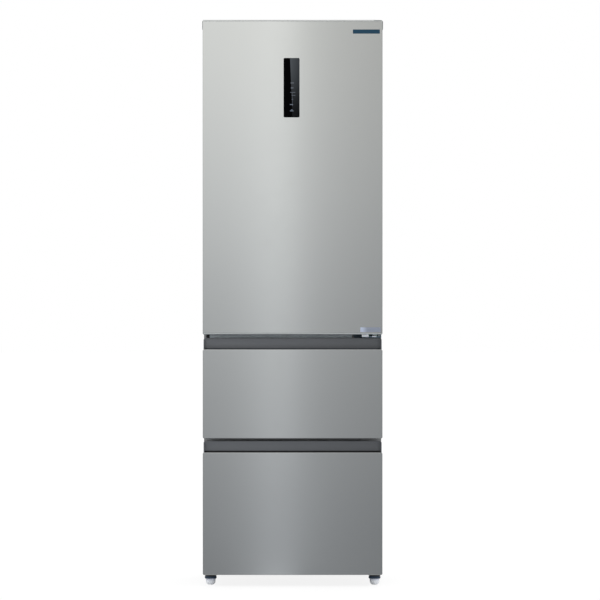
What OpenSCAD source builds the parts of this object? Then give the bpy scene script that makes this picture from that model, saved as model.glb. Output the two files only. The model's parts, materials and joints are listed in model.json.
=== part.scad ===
// Free-standing fridge freezer: a hinged fridge door above two freezer drawers.
// Millimetres. Z is up, the front faces -Y, and +X is to the right seen from the front.
// The origin is on the floor, under the centre of the whole appliance.

/* [Overall] */
// Height of the whole appliance
total_h = 1890; // [1800:5:2000]
// Width of the door and of the drawer fronts
front_w = 600; // [580:5:680]
// Depth of the whole appliance
total_d = 660; // [640:5:720]

/* [Front panels] */
// Thickness of the door and of the drawer fronts
front_t = 58; // [54:1:62]
// Thickness of the folded steel skin
skin_t = 0.8; // [0.6:0.1:1.4]
// Radius of the upright edges of the skin
edge_r = 4; // [2:0.5:8]
// Height of the steel of the lower drawer front
lower_steel_h = 409; // [395:1:425]
// Height of the steel of the upper drawer front
upper_steel_h = 297; // [285:1:315]
// Height of the dark grip band above each steel drawer front
grip_h = 37; // [32:1:44]
// Gap between the two drawer fronts
drawer_gap = 10; // [8:1:14]
// Gap between the upper drawer front and the door
door_gap = 13; // [13:1:20]
// Height of the lip of each door end cap
cap_lip_h = 4; // [3.8:0.2:8]
// Height of each door end cap, lip and plug
cap_h = 22; // [18:1:30]

/* [Finger grips] */
// How far the grip wall stands behind the steel front
grip_recess = 28; // [24:1:34]
// Depth of the finger channel behind the top edge of the steel
channel_d = 20; // [14:1:28]
// Depth of the folded lip along the top edge of the steel
steel_lip = 6; // [5:0.5:8]
// Wall thickness of the grip moulding
grip_wall = 3; // [2:0.5:4]
// Radius of the upper corners of the grip band
grip_corner_r = 6; // [4:1:10]
// How far each end of the grip band stays inside the steel front
grip_end_in = 2.6; // [1:0.2:5]

/* [Display and plates] */
// Width of the display glass
display_w = 51.5; // [40:0.5:80]
// Height of the display glass
display_h = 196; // [120:1:240]
// Distance from the top of the door to the top of the display
display_drop = 127; // [90:1:200]
// Sideways place of the middle of the display
display_x = -3; // [-60:1:60]
// How far the display glass stands in front of the steel
glass_proud = 0.6; // [0.5:0.1:1.2]
// Thickness of the display glass with its rear housing
display_t = 14; // [8:1:20]
// Width and height of the blank badge strip near the top of the door
badge_w = 90; // [60:1:120]
badge_h = 12.7; // [8:0.1:20]
// Width and height of the blank label near the foot of the door
label_w = 68; // [40:1:90]
label_h = 15.7; // [8:0.1:20]
// Thickness of the badge strip and of the label
plate_t = 0.4; // [0.2:0.1:0.5]

/* [Cabinet] */
// How far each cabinet side stays behind the edge of the fronts
side_inset = 3; // [2:0.5:6]
// How far the top cover reaches past the edge of the fronts on each side
ear_out = 2.7; // [1:0.1:5]
// Height of the top cover
top_cover_h = 28; // [24:1:36]
// Depth of the top cover from the front of the cabinet
top_cover_d = 150; // [110:5:220]
// Wall thickness of the top cover
cover_t = 3; // [2:0.5:4]
// Thickness of the cabinet's steel sheets
sheet_t = 1; // [0.6:0.1:1.5]
// Thickness of the insulated side walls
wall_t = 51; // [46:1:60]
// Thickness of the insulated back wall
back_wall = 68; // [60:1:84]
// Thickness of the plastic liners
liner_t = 1.5; // [1:0.1:2.5]
// Height of the blind strip between the roof and the top of the door seal
roof_seal_drop = 16; // [12:1:24]
// Thickness of the base plate
base_t = 2; // [1.5:0.5:4]

/* [Seals] */
// Width of the door and drawer gaskets
seal_w = 18; // [14:1:20]
// Distance between the fronts and the cabinet, which the gaskets fill
seal_d = 14; // [13:0.5:18]
// Distance from the edge of a front to its gasket where two fronts meet
seal_edge = 6; // [4:0.5:8]
// Distance from the foot of the lower drawer front to its gasket
seal_foot_edge = 22; // [16:1:30]
// Width of bare flange between a gasket and the mouth of the liner
seal_margin = 4; // [3:0.5:8]
// Clearance between a closed gasket and the cabinet
seal_gap = 0.3; // [0.3:0.1:0.8]

/* [Hinges] */
// Distance from the side edge of the door to the hinge axis
pivot_in = 26; // [24:0.5:30]
// Distance from the front of the door to the hinge axis
pivot_back = 28; // [26:0.5:32]
// Diameter of the hinge pins
pin_d = 8; // [6:0.5:10]
// Outer diameter of the nylon hinge bushes
bush_d = 14.6; // [12.5:0.1:18]
// Thickness of the top hinge plate
top_arm_t = 2.8; // [2:0.1:2.9]
// Thickness of the lower hinge arm
low_arm_t = 4; // [3:0.5:5]
// Width of the top hinge arm
arm_w = 36; // [24:1:42]
// Length of the lower hinge bracket along the front
bracket_w = 97; // [80:1:120]
// Radial running clearance of pins and axles in their bores
run_gap = 0.05; // [0.02:0.01:0.1]
// Clearance above and below a hinge arm
arm_gap = 0.6; // [0.4:0.1:1]

/* [Drawers] */
// Distance from the front of the cabinet to the telescopic slides
slide_front_gap = 10; // [6:1:20]
// Clearance behind the telescopic slides
slide_back_gap = 25.4; // [20:0.2:40]
// Height of the telescopic slides
slide_h = 44; // [36:1:56]
// Width of the telescopic slides between liner and basket
slide_w = 19; // [16:0.5:26]
// Sheet thickness of the slides
slide_t = 1.5; // [1:0.1:2]
// Running clearance between slide members
slide_gap = 0.4; // [0.3:0.1:0.8]
// Wall thickness of baskets, crispers and door bins
bin_t = 2.5; // [2:0.5:4]
// Clearance under the freezer baskets, and before the step of the lower liner
basket_gap = 10; // [6:1:18]
// Clearance behind the freezer baskets
basket_back_gap = 21.4; // [10:0.2:25]
// Clearance above the freezer baskets
basket_top_gap = 24; // [16:1:40]
// Thickness of the white inner panel's rim round each drawer seal
core_rim = 3; // [2:0.5:6]

/* [Fridge interior] */
// Number of glass levels, counting the cover of the crispers
levels = 4; // [3:1:5]
// Height of the crispers
crisper_h = 200; // [150:5:240]
// Clearance behind the crispers
crisper_back_gap = 63.4; // [20:0.2:100]
// Travel of the crispers behind the closed door
crisper_travel = 45; // [20:1:60]
// Clearance between crispers, liner and each other
crisper_gap = 5; // [3:0.5:10]
// Clearance above the crispers
crisper_top_gap = 6; // [4:0.5:12]
// Thickness of the glass shelves
glass_t = 4; // [3:0.5:6]
// Clearance between the glass shelves and the closed door's bins
shelf_bin_gap = 24.4; // [12:0.2:60]
// Clearance between the glass shelves and the air duct
shelf_back_gap = 12; // [10:1:20]
// Width of the ledges that carry the shelves
ledge_w = 8; // [6:1:12]
// Height of the ledges
ledge_h = 6; // [4:1:12]
// Width of the air duct on the back wall
duct_w = 190; // [120:5:260]
// Depth of the air duct
duct_d = 20; // [14:1:22]

/* [Door bins] */
// How far the bins reach from the back of the door into the fridge
bin_reach = 105; // [90:1:110]
// Height of the bottle bin
bottle_bin_h = 118; // [90:1:140]
// Height of the smaller bins
balcony_h = 78; // [50:1:100]
// Free height above the bottle bin
bottle_room = 130; // [100:5:160]
// Number of smaller bins
balconies_n = 3; // [2:1:4]
// Length and depth of the finger pocket under the door
pull_l = 200; // [120:5:260]
pull_d = 15; // [10:1:17]
// Height of the raised border of the door liner
dyke_d = 36; // [24:1:44]
// Width of the raised border of the door liner
dyke_w = 14; // [10:1:18]
// Distance from the raised border to the liner wall of the fridge
dyke_gap = 3.5; // [3.5:0.5:6]
// Clearance of a bin between the raised borders
bin_side_gap = 2; // [1:0.5:5]

/* [Feet and rollers] */
// Height of the gap under the fronts, which the feet fill
foot_h = 38; // [32:1:48]
// Diameter of the front feet
foot_d = 33; // [26:1:40]
// Diameter of the dark collar above each foot
collar_d = 40; // [34:1:46]
// Height of the collar
collar_h = 10.7; // [8:0.1:14]
// Distance from the side of the cabinet to the middle of each front foot
foot_side_in = 22; // [20:1:40]
// Distance from the front of the cabinet to the feet
foot_in = 30; // [24:1:60]
// Diameter of the threaded stud of each foot
stud_d = 8; // [6:0.5:12]
// Width of each rear roller
roller_w = 20; // [14:1:30]
// Diameter of the roller axles
axle_d = 6; // [5:0.5:9]
// Distance from the back of the cabinet to the roller axles
roller_in = 42; // [36:1:70]

/* [Machine room] */
// Depth of the machine room
room_d = 220; // [200:2:230]
// Height of the top of the machine room above the floor
room_top = 280; // [250:2:290]
// Thickness of insulation between the machine room and the freezer
room_wall = 50; // [40:1:60]
// Radius of the compressor shell
comp_r = 76; // [60:1:80]
// Height of the straight part of the compressor shell
comp_h = 92; // [60:1:100]
// Height of the dome of the compressor
comp_dome = 40; // [25:1:50]
// Diameter of the refrigerant tubes
tube_d = 6; // [5:0.5:8]
// Radius of the evaporator fan
fan_r = 42; // [30:1:46]
// Diameter of the fan shaft
shaft_d = 5; // [3:0.5:8]

/* [Hidden] */
$fn = 64;
eps = 0.5;

// Planes across the depth
skin_y = -total_d / 2 + glass_proud;
front_back_y = skin_y + front_t;
cab_y0 = front_back_y + seal_d;
cab_y1 = total_d / 2;
cavity_y1 = cab_y1 - back_wall;
room_y0 = cab_y1 - room_d;

// Half widths
half_w = front_w / 2;
cab_x = half_w - side_inset;
cavity_x = cab_x - wall_t;
seal_x = cavity_x + seal_margin + seal_w;
inner_w = front_w - 2 * skin_t;

// Levels of the fronts
lower_z0 = foot_h;
lower_z1 = lower_z0 + lower_steel_h;
lower_top = lower_z1 + grip_h;
upper_z0 = lower_top + drawer_gap;
upper_z1 = upper_z0 + upper_steel_h;
upper_top = upper_z1 + grip_h;
door_z0 = upper_top + door_gap;
door_z1 = total_h;
roof_z = total_h - top_cover_h;
base_z1 = foot_h + base_t;

// Outer edges of the three gaskets, and the liner mouths inside them
mouth_in = seal_w + seal_margin;
lower_seal = [lower_z0 + seal_foot_edge, lower_top - seal_edge];
upper_seal = [upper_z0 + seal_edge, upper_top - seal_edge];
door_seal = [door_z0 + seal_edge, roof_z - roof_seal_drop];
lower_mouth = [lower_seal[0] + mouth_in, lower_seal[1] - mouth_in];
upper_mouth = [upper_seal[0] + mouth_in, upper_seal[1] - mouth_in];
fridge_mouth = [door_seal[0] + mouth_in, door_seal[1] - mouth_in];

// The lower freezer tub steps up over the machine room
step_y = room_y0 - room_wall;
step_z = room_top + room_wall;
duct_panel_y = cavity_y1 - 84;
duct_panel_t = 8;

// Hinge axis and arms
arm_side_room = 24;
arm_reach = 12;
plate_l = 50;
bay_side = 3;
screw_r = 5;
screw_h = 4.5;
strip_gap = 1;
strip_t = 2;
blank_side = 8;
blank_t = 5;
pivot_x = half_w - pivot_in;
pivot_y = skin_y + pivot_back;
recess_x = pivot_x - arm_w / 2 - arm_side_room;
top_arm_z = door_z1 - cap_lip_h + arm_gap;
low_arm_z = upper_top + 3;
low_arm_top = low_arm_z + low_arm_t;
bracket_x = cab_x - bracket_w;
strip_z = [upper_top + strip_gap, door_z0 - strip_gap];
bush_bottom = low_arm_top + arm_gap / 2;
stop_w = 23;
stop_x = pivot_x - stop_w - 20;
stop_y = [skin_y + 8, skin_y + 30];
stop_h = door_z0 - low_arm_top - arm_gap;
blank_w = 11;

// Blank plates on the door
badge_side = 9;
badge_drop = 32;
label_side = 6;
label_rise = 8;

// Door bins
dyke_x = cavity_x - dyke_gap;
bin_x = dyke_x - dyke_w - bin_side_gap;
bin_y0 = front_back_y;
bin_y1 = front_back_y + bin_reach;
door_in_z = [fridge_mouth[0] + 6, fridge_mouth[1] - 6];
bottle_z = door_in_z[0] + dyke_w + 4;
balcony_z0 = bottle_z + bottle_bin_h + bottle_room;
balcony_step = (door_in_z[1] - dyke_w - 6 - balcony_z0) / balconies_n;

// Fridge interior
crisper_lip = 9;
crisper_stop = 1;
crisper_y0 = bin_y1 + crisper_travel + crisper_lip + crisper_stop;
crisper_y1 = cavity_y1 - crisper_back_gap;
crisper_z = fridge_mouth[0] + 0.5;
first_level = crisper_z + crisper_h + crisper_top_gap + ledge_h;
level_step = (fridge_mouth[1] - first_level) / levels;
shelf_y1 = cavity_y1 - duct_d - shelf_back_gap;
shelf_y0 = bin_y1 + shelf_bin_gap;
trim_t = 3;
trim_d = 16;
lens_w = 140;
lens_d = 46;
lens_h = 6;
glass_x = cavity_x - 2;

// Baskets and slides
basket_x = cavity_x - slide_w;
slide_y0 = cab_y0 + slide_front_gap;
slide_y1 = duct_panel_y - slide_back_gap;
basket_y1 = duct_panel_y - basket_back_gap;
upper_slide_z = (upper_mouth[0] + upper_mouth[1]) / 2;
lower_slide_z = (step_z + lower_mouth[1]) / 2;
core_top_in = grip_wall;

// Feet, rollers and machine room
foot_x = cab_x - foot_side_in;
foot_y = cab_y0 + foot_in;
foot_top = foot_h - collar_h;
stud_top = base_z1 + 12;
boss_d = stud_d + 10;
boss_top = stud_top + 1;
roller_x = cab_x - 46;
roller_y = cab_y1 - roller_in;
roller_r = foot_h / 2;
fork_t = 3;
fork_gap = 1;
fork_x = roller_w / 2 + fork_gap;
fork_d = 28;
axle_l = 2 * (fork_x + fork_t + 1);
room_y = cab_y1 - room_d / 2;
comp_x = -cab_x / 2.4;
comp_foot = 14;
mount_r = 11;
comp_z = base_z1 + comp_foot;
tray_w = 226;
tray_x = 22;
tray_h = 34;
tray_d = room_d - 56;
tray_y = room_y0 + 24;
stub_y = 18;
stub_x = comp_x + comp_r + 14;
stub_z = comp_z + comp_h * 0.7;
runs = 6;
run_l = tray_w - 60;
run_pitch = (tray_d - 40) / (runs - 1);
coil_x = tray_x + 30;
coil_y = [tray_y + 20, tray_y + 20 + (runs - 1) * run_pitch];
coil_z = base_z1 + 2 + tube_d / 2;
riser_z = base_z1 + 60;
cover_y = cab_y1 - 2 * base_t;
box_w = 52;
box_d = 130;
box_h = 150;
box_side = 12;
box_front = 30;
inlet_at = [-cab_x + 80, room_top - 80];
inlet_depth = 20;
inlet_body = [16, 12];
inlet_flange = [25, 15];
inlet_mouth = [12.5, 9];

// Evaporator and fan
evap_z = upper_mouth[0] + 14;
evap_h = (upper_mouth[1] - upper_mouth[0]) - 2 * fan_r - 56;
evap_y = cavity_y1 - 38;
evap_fin_d = 48;
evap_end_gap = 65;
evap_runs = 5;
evap_edge = 10;
evap_pitch = (evap_h - 2 * evap_edge) / (evap_runs - 1);
evap_l = 2 * (cavity_x - evap_end_gap);
fins = 18;
fan_z = upper_mouth[1] - fan_r - 20;
fan_y = duct_panel_y + duct_panel_t + 8;
hub_r = shaft_d / 2 + 9;
hub_l = 16;
blades = 5;

steel_colour = [0.68, 0.69, 0.68];
cabinet_colour = [0.60, 0.61, 0.62];
grip_colour = [0.34, 0.35, 0.37];
liner_colour = [0.93, 0.94, 0.95];
seal_colour = [0.62, 0.63, 0.65];
clear_colour = [0.80, 0.88, 0.92, 0.6];
black_colour = [0.07, 0.07, 0.08];
foam_colour = [0.93, 0.86, 0.62];
zinc_colour = [0.72, 0.73, 0.74];

// Start and end of a stretch of the given length
function span(start, length) = [start, start + length];

// A box from its lowest to its highest corner
module block(low, high) {
    translate(low) cube(high - low);
}

// A box with the same half width on both sides of the middle plane
module slab(half, y, z) {
    block([-half, y[0], z[0]], [half, y[1], z[1]]);
}

// A copy of the children on each side of the middle plane
module both_sides() {
    children();
    mirror([1, 0, 0]) children();
}

// A rod from a point, along X, Y or Z
module rod_z(at, r, l) {
    translate(at) cylinder(r = r, h = l);
}

module rod_y(at, r, l) {
    translate(at) rotate([-90, 0, 0]) cylinder(r = r, h = l);
}

module rod_x(at, r, l) {
    translate(at) rotate([0, 90, 0]) cylinder(r = r, h = l);
}

// Plan of a front panel, with its two front corners rounded
module front_plan(w, d, r) {
    translate([-w / 2, r]) square([w, d - r]);
    translate([-w / 2 + r, 0]) square([w - 2 * r, d]);
    for (side = [-1, 1]) translate([side * (w / 2 - r), r]) circle(r);
}

// Plan of the space inside the folded skin
module inside_plan(d) {
    translate([0, skin_t]) front_plan(inner_w, d - skin_t, edge_r - skin_t);
}

// A steel sheet folded round the front and both sides of a panel
module folded_skin(z) {
    translate([0, skin_y, z[0]]) linear_extrude(z[1] - z[0]) difference() {
        front_plan(front_w, front_t, edge_r);
        translate([0, skin_t]) front_plan(inner_w, front_t, edge_r - skin_t);
    }
}

// A rectangular frame that stands in the plane of the fronts
module upright_frame(half, z, w, y) {
    difference() {
        slab(half, y, z);
        slab(half - w, [y[0] - eps, y[1] + eps], [z[0] + w, z[1] - w]);
    }
}

// An open box: outer corners, wall thickness, open at the top
module tray(low, high, t) {
    difference() {
        block(low, high);
        block(low + [t, t, t], [high[0] - t, high[1] - t, high[2] + eps]);
    }
}

// Tubes side by side, joined by half turns into one snake that starts at the origin
module snake(n, l, pitch, r) {
    for (i = [0:n - 1]) translate([0, i * pitch, 0]) rotate([0, 90, 0]) cylinder(r = r, h = l);
    for (i = [0:n - 2]) {
        at_far_end = i % 2 == 0;
        translate([at_far_end ? l : 0, (i + 0.5) * pitch, 0])
            rotate([0, 0, at_far_end ? -90 : 90])
                rotate_extrude(angle = 180) translate([pitch / 2, 0]) circle(r);
    }
}

// Both sides, the roof and their front flanges
module outer_panels() {
    color(cabinet_colour) {
        both_sides() {
            block([cab_x - sheet_t, cab_y0, foot_h], [cab_x, cab_y1, roof_z]);
            block([cavity_x, cab_y0, foot_h], [cab_x, cab_y0 + sheet_t, roof_z]);
        }
        slab(cab_x - sheet_t, [cab_y0, cab_y1], [roof_z - sheet_t, roof_z]);
        slab(cavity_x, [cab_y0, cab_y0 + sheet_t], [fridge_mouth[1], roof_z]);
    }
}

module back_panel() {
    color(zinc_colour) slab(cab_x - sheet_t, [cab_y1 - sheet_t, cab_y1], [room_top, roof_z - sheet_t]);
}

// Base plate with the front flange, foot collars, roller forks and machine room bulkhead
module base_frame() {
    neck_in = 2.5;
    neck_z = [foot_top + 0.3, foot_top + 2.7];
    well = 2;
    color([0.16, 0.17, 0.18]) {
        difference() {
            union() {
                slab(cab_x - sheet_t, [cab_y0 + sheet_t, cab_y1], [foot_h, base_z1]);
                slab(cavity_x, [cab_y0, cab_y0 + sheet_t], [foot_h, lower_mouth[0]]);
                for (side = [-1, 1]) {
                    rod_z([side * foot_x, foot_y, neck_z[0]], collar_d / 2 - neck_in, neck_z[1] - neck_z[0]);
                    rod_z([side * foot_x, foot_y, neck_z[1]], collar_d / 2, foot_h - neck_z[1]);
                    rod_z([side * foot_x, foot_y, foot_h], boss_d / 2, boss_top - foot_h);
                    for (fork = [-1, 1]) roller_fork(side * roller_x, fork);
                }
                slab(cab_x - sheet_t, [room_y0, room_y0 + sheet_t], [foot_h, room_top]);
                slab(cab_x - sheet_t, [room_y0, cab_y1], [room_top - sheet_t, room_top]);
            }
            for (side = [-1, 1]) {
                rod_z([side * foot_x, foot_y, 0], stud_d / 2 + run_gap, stud_top + 0.5);
                rod_x([side * roller_x - axle_l / 2, roller_y, roller_r], axle_d / 2, axle_l);
                block(
                    [side * roller_x - fork_x, roller_y - roller_r - well, foot_h - eps],
                    [side * roller_x + fork_x, roller_y + roller_r + well, base_z1 + eps]
                );
            }
        }
    }
}

// One cheek of the fork that carries a rear roller
module roller_fork(x, fork) {
    inner = x + fork * fork_x;
    outer = inner + fork * fork_t;
    block(
        [min(inner, outer), roller_y - fork_d / 2, roller_r - axle_d / 2 - 5],
        [max(inner, outer), roller_y + fork_d / 2, base_z1]
    );
}

// The foam between the sheets and the liners
module cabinet_foam() {
    color(foam_colour) difference() {
        slab(cab_x - sheet_t, [cab_y0 + sheet_t, cab_y1 - sheet_t], [base_z1, roof_z - sheet_t]);
        fridge_tub(liner_t);
        upper_tub(liner_t);
        lower_tub(liner_t);
        slab(cab_x, [room_y0, cab_y1], [0, room_top]);
        for (side = [-1, 1]) rod_z([side * foot_x, foot_y, foot_h], boss_d / 2, boss_top - foot_h);
    }
}

// The space inside each liner, or its outside when grown by the liner's thickness
module fridge_tub(grow) {
    slab(cavity_x + grow, [cab_y0 - eps, cavity_y1 + grow], [fridge_mouth[0] - grow, fridge_mouth[1] + grow]);
}

module upper_tub(grow) {
    slab(cavity_x + grow, [cab_y0 - eps, cavity_y1 + grow], [upper_mouth[0] - grow, upper_mouth[1] + grow]);
}

module lower_tub(grow) {
    slab(cavity_x + grow, [cab_y0 - eps, step_y + grow], [lower_mouth[0] - grow, lower_mouth[1] + grow]);
    slab(cavity_x + grow, [cab_y0 - eps, duct_panel_y + grow], [step_z - grow, lower_mouth[1] + grow]);
}

// Cuts away everything in front of the back of the cabinet's front flange
module before_flange() {
    slab(half_w, [cab_y0 - 2 * eps, cab_y0 + sheet_t], [0, total_h]);
}

module fridge_liner() {
    color(liner_colour) {
        difference() {
            fridge_tub(liner_t);
            fridge_tub(0);
            before_flange();
        }
        for (i = [0:levels - 1]) both_sides() block(
            [cavity_x - ledge_w, shelf_y0 + trim_d, first_level + i * level_step - ledge_h],
            [cavity_x + eps, shelf_y1 - trim_d, first_level + i * level_step]
        );
    }
}

module freezer_liners() {
    color(liner_colour) {
        difference() {
            upper_tub(liner_t);
            upper_tub(0);
            before_flange();
        }
        difference() {
            lower_tub(liner_t);
            lower_tub(0);
            before_flange();
        }
    }
}

// Steel rails across the front, between the liner mouths
module front_rails() {
    color(cabinet_colour) {
        slab(cavity_x, [cab_y0, cab_y0 + sheet_t], [upper_mouth[1], fridge_mouth[0]]);
        slab(cavity_x, [cab_y0, cab_y0 + sheet_t], [lower_mouth[1], upper_mouth[0]]);
    }
}

// The strip that shows between the door and the upper drawer
module gap_strip() {
    color([0.45, 0.47, 0.51]) block(
        [-cab_x + blank_side + blank_w, cab_y0 - strip_t, strip_z[0]],
        [bracket_x - 0.5, cab_y0, strip_z[1]]
    );
}

// Hollow cover on the roof, wider than the fronts, with a bay for the hinge
module top_cover() {
    out = half_w + ear_out;
    bay_x0 = pivot_x - arm_w / 2 - bay_side;
    color(cabinet_colour) difference() {
        translate([0, cab_y0 + top_cover_d, 0]) rotate([90, 0, 0]) linear_extrude(top_cover_d) ear_shape(out);
        slab(out - cover_t, [cab_y0 + cover_t, cab_y0 + top_cover_d - cover_t], [roof_z - eps, total_h - cover_t]);
        block([bay_x0, cab_y0 - eps, roof_z - eps], [half_w - 1.5, cab_y0 + plate_l + 6, total_h + eps]);
    }
}

// Front view of the top cover, with rounded upper corners
module ear_shape(out) {
    r = 3;
    translate([-out, roof_z]) square([2 * out, top_cover_h - r]);
    translate([-out + r, roof_z]) square([2 * (out - r), top_cover_h]);
    for (side = [-1, 1]) translate([side * (out - r), total_h - r]) circle(r);
}

// Bracket on the roof with a plate over the door and the upper pin
module top_hinge() {
    x0 = pivot_x - arm_w / 2;
    x1 = min(pivot_x + arm_w / 2, half_w - 4);
    y0 = cab_y0 + 2;
    plate_h = 3;
    riser_t = 4;
    arm_z1 = top_arm_z + top_arm_t;
    pin_z = door_z1 - cap_h + 1;
    color([0.55, 0.56, 0.57]) {
        block([x0, y0, roof_z], [x1, cab_y0 + plate_l, roof_z + plate_h]);
        block([x0, y0, roof_z], [x1, y0 + riser_t, arm_z1]);
        difference() {
            union() {
                block([x0, pivot_y, top_arm_z], [x1, y0 + riser_t, arm_z1]);
                rod_z([pivot_x, pivot_y, top_arm_z], arm_w / 2, top_arm_t);
            }
            block([x1, pivot_y - arm_w, 0], [x1 + arm_w, cab_y1, total_h + eps]);
        }
        rod_z([pivot_x, pivot_y, pin_z], pin_d / 2, top_arm_z - pin_z + eps);
        for (y = [0.36, 0.76])
            rod_z([(x0 + x1) / 2, cab_y0 + y * plate_l, roof_z + plate_h - eps], screw_r, screw_h);
    }
}

// Bracket on the middle rail with an arm under the door and the lower pin
module lower_hinge() {
    slant = 7;
    face_t = 3;
    arm_x = [pivot_x - 16, cab_x - 2];
    color([0.10, 0.13, 0.15]) {
        translate([0, cab_y0, 0]) rotate([90, 0, 0]) linear_extrude(face_t) polygon([
            [bracket_x + slant, strip_z[0]], [cab_x, strip_z[0]],
            [cab_x, strip_z[1]], [bracket_x, strip_z[1]]
        ]);
        translate([0, 0, low_arm_z]) linear_extrude(low_arm_t) polygon([
            [bracket_x + slant, cab_y0 - eps], [arm_x[0], pivot_y - arm_reach],
            [arm_x[1], pivot_y - arm_reach], [arm_x[1], cab_y0 - eps]
        ]);
        rod_z([pivot_x, pivot_y, low_arm_z], pin_d / 2, door_z0 + cap_h - low_arm_z - 1);
    }
}

// The plug that fills the unused hinge place on the left
module hinge_blank() {
    x0 = -cab_x + blank_side;
    color(black_colour) block([x0, cab_y0 - blank_t, strip_z[0]], [x0 + blank_w, cab_y0, strip_z[1]]);
}

module glass_shelves() {
    color(clear_colour) for (i = [0:levels - 1])
        slab(glass_x, [shelf_y0, shelf_y1], span(first_level + i * level_step, glass_t));
}

// A rim along the front and a stop along the back of each glass shelf
module shelf_trims() {
    color([0.86, 0.88, 0.90]) for (i = [0:levels - 1]) {
        z = first_level + i * level_step;
        difference() {
            union() {
                slab(glass_x, [shelf_y0 - trim_t, shelf_y0 + trim_d - 1], [z - trim_t, z + glass_t + trim_t]);
                slab(glass_x, [shelf_y1 - trim_d + 1, shelf_y1 + trim_t], [z - trim_t, z + glass_t + 3 * trim_t]);
            }
            slab(glass_x + eps, [shelf_y0, shelf_y1], [z, z + glass_t]);
        }
    }
}

module lamp_lens() {
    y0 = shelf_y0 + trim_d;
    color([0.96, 0.97, 0.98]) slab(lens_w / 2, [y0, y0 + lens_d], [fridge_mouth[1] - lens_h, fridge_mouth[1]]);
}

// Cover of the air channel on the fridge's back wall, open at the back, with an outlet per level
module fridge_duct() {
    z0 = first_level + 22;
    z1 = fridge_mouth[1] - 8;
    y0 = cavity_y1 - duct_d;
    slot_x = [duct_w / 2 - 50, duct_w / 2 - 14];
    slot_h = 9;
    slot_rise = 0.68;
    color([0.88, 0.90, 0.92]) difference() {
        slab(duct_w / 2, [y0, cavity_y1], [z0, z1]);
        slab(duct_w / 2 - bin_t, [y0 + bin_t, cavity_y1 + eps], [z0 + bin_t, z1 - bin_t]);
        for (i = [0:levels - 1]) both_sides() block(
            [slot_x[0], y0 - eps, first_level + (i + slot_rise) * level_step],
            [slot_x[1], y0 + bin_t + eps, first_level + (i + slot_rise) * level_step + slot_h]
        );
    }
}

// Panel in front of the evaporator, with outlet slots before the fan and a return gap below
module freezer_duct() {
    z0 = upper_mouth[0] + 12;
    slots = 7;
    slot_h = 5;
    slot_pitch = 11;
    color(liner_colour) difference() {
        slab(cavity_x, [duct_panel_y, duct_panel_y + duct_panel_t], [z0, upper_mouth[1]]);
        for (i = [0:slots - 1]) slab(
            fan_r * 0.8, [duct_panel_y - eps, duct_panel_y + duct_panel_t + eps],
            span(fan_z + (i - (slots - 1) / 2) * slot_pitch - slot_h / 2, slot_h)
        );
    }
}

// Finned tube evaporator
module evaporator() {
    fin_half = evap_l / 2 - 4;
    fin_t = 0.8;
    pipe_r = 4;
    foot_w = 10;
    foot_z = evap_z + evap_h / 2;
    color([0.80, 0.81, 0.82]) {
        translate([-evap_l / 2, evap_y, evap_z + evap_edge]) rotate([90, 0, 0])
            snake(evap_runs, evap_l, evap_pitch, pipe_r);
        for (i = [0:fins - 1]) {
            x = -fin_half + i * 2 * fin_half / (fins - 1);
            block(
                [x - fin_t / 2, evap_y - evap_fin_d / 2, evap_z],
                [x + fin_t / 2, evap_y + evap_fin_d / 2, evap_z + evap_h]
            );
        }
        for (side = [-1, 1]) block(
            [side * fin_half - foot_w / 2, evap_y + evap_fin_d / 2 - eps, foot_z - 0.8 * foot_w],
            [side * fin_half + foot_w / 2, cavity_y1, foot_z + 0.8 * foot_w]
        );
    }
}

// Motor on the back wall, with the shaft that carries the fan
module fan_motor() {
    back = fan_y + hub_l + 3;
    motor_r = 20;
    motor_l = 24;
    bridge = [10, 26];
    color([0.20, 0.20, 0.22]) {
        rod_y([0, back, fan_z], motor_r, motor_l);
        slab(bridge[0], [back + motor_l - 4, cavity_y1], [fan_z - bridge[1], fan_z + bridge[1]]);
        rod_y([0, fan_y + 1, fan_z], shaft_d / 2, back - fan_y);
    }
}

module fan_rotor() {
    pitch_angle = 38;
    blade_w = 24;
    blade_t = 2;
    color([0.90, 0.90, 0.88]) translate([0, fan_y, fan_z]) rotate([-90, 0, 0]) difference() {
        union() {
            cylinder(r = hub_r, h = hub_l);
            intersection() {
                cylinder(r = fan_r, h = hub_l);
                for (i = [0:blades - 1]) rotate([0, 0, i * 360 / blades])
                    translate([hub_r - 2, 0, hub_l / 2]) rotate([pitch_angle, 0, 0])
                        translate([0, -blade_w / 2, -blade_t / 2]) cube([fan_r, blade_w, blade_t]);
            }
        }
        translate([0, 0, -eps]) cylinder(r = shaft_d / 2 + run_gap, h = hub_l + 2 * eps);
    }
}

// Welded compressor shell on its mounting plate, with terminals and stub pipes
module compressor() {
    dome_r = (comp_r * comp_r + comp_dome * comp_dome) / (2 * comp_dome);
    plate = [2 * comp_r + 16, 1.6 * comp_r, 3];
    seam = [comp_r + 4, 5];
    stub_l = 18;
    stub_in = 4;
    color(black_colour) translate([comp_x, room_y, comp_z]) {
        translate([-plate[0] / 2, -plate[1] / 2, 0]) cube(plate);
        rotate_extrude() {
            square([comp_r, comp_h]);
            translate([0, comp_h / 2]) square(seam);
            intersection() {
                translate([0, comp_h + comp_dome - dome_r]) circle(dome_r, $fn = 128);
                translate([0, comp_h - eps]) square([comp_r, comp_dome + 1]);
            }
        }
        for (y = [-stub_y, stub_y]) rod_x([comp_r - stub_in, y, stub_z - comp_z], tube_d / 2 + 1.5, stub_l);
    }
}

// Rubber mounts between the base plate and the compressor's plate
module compressor_mounts() {
    color([0.10, 0.10, 0.10]) for (sx = [-1, 1]) for (sy = [-1, 1])
        rod_z([comp_x + sx * (comp_r - 4), room_y + sy * comp_r * 0.6, base_z1], mount_r, comp_foot);
}

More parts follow.
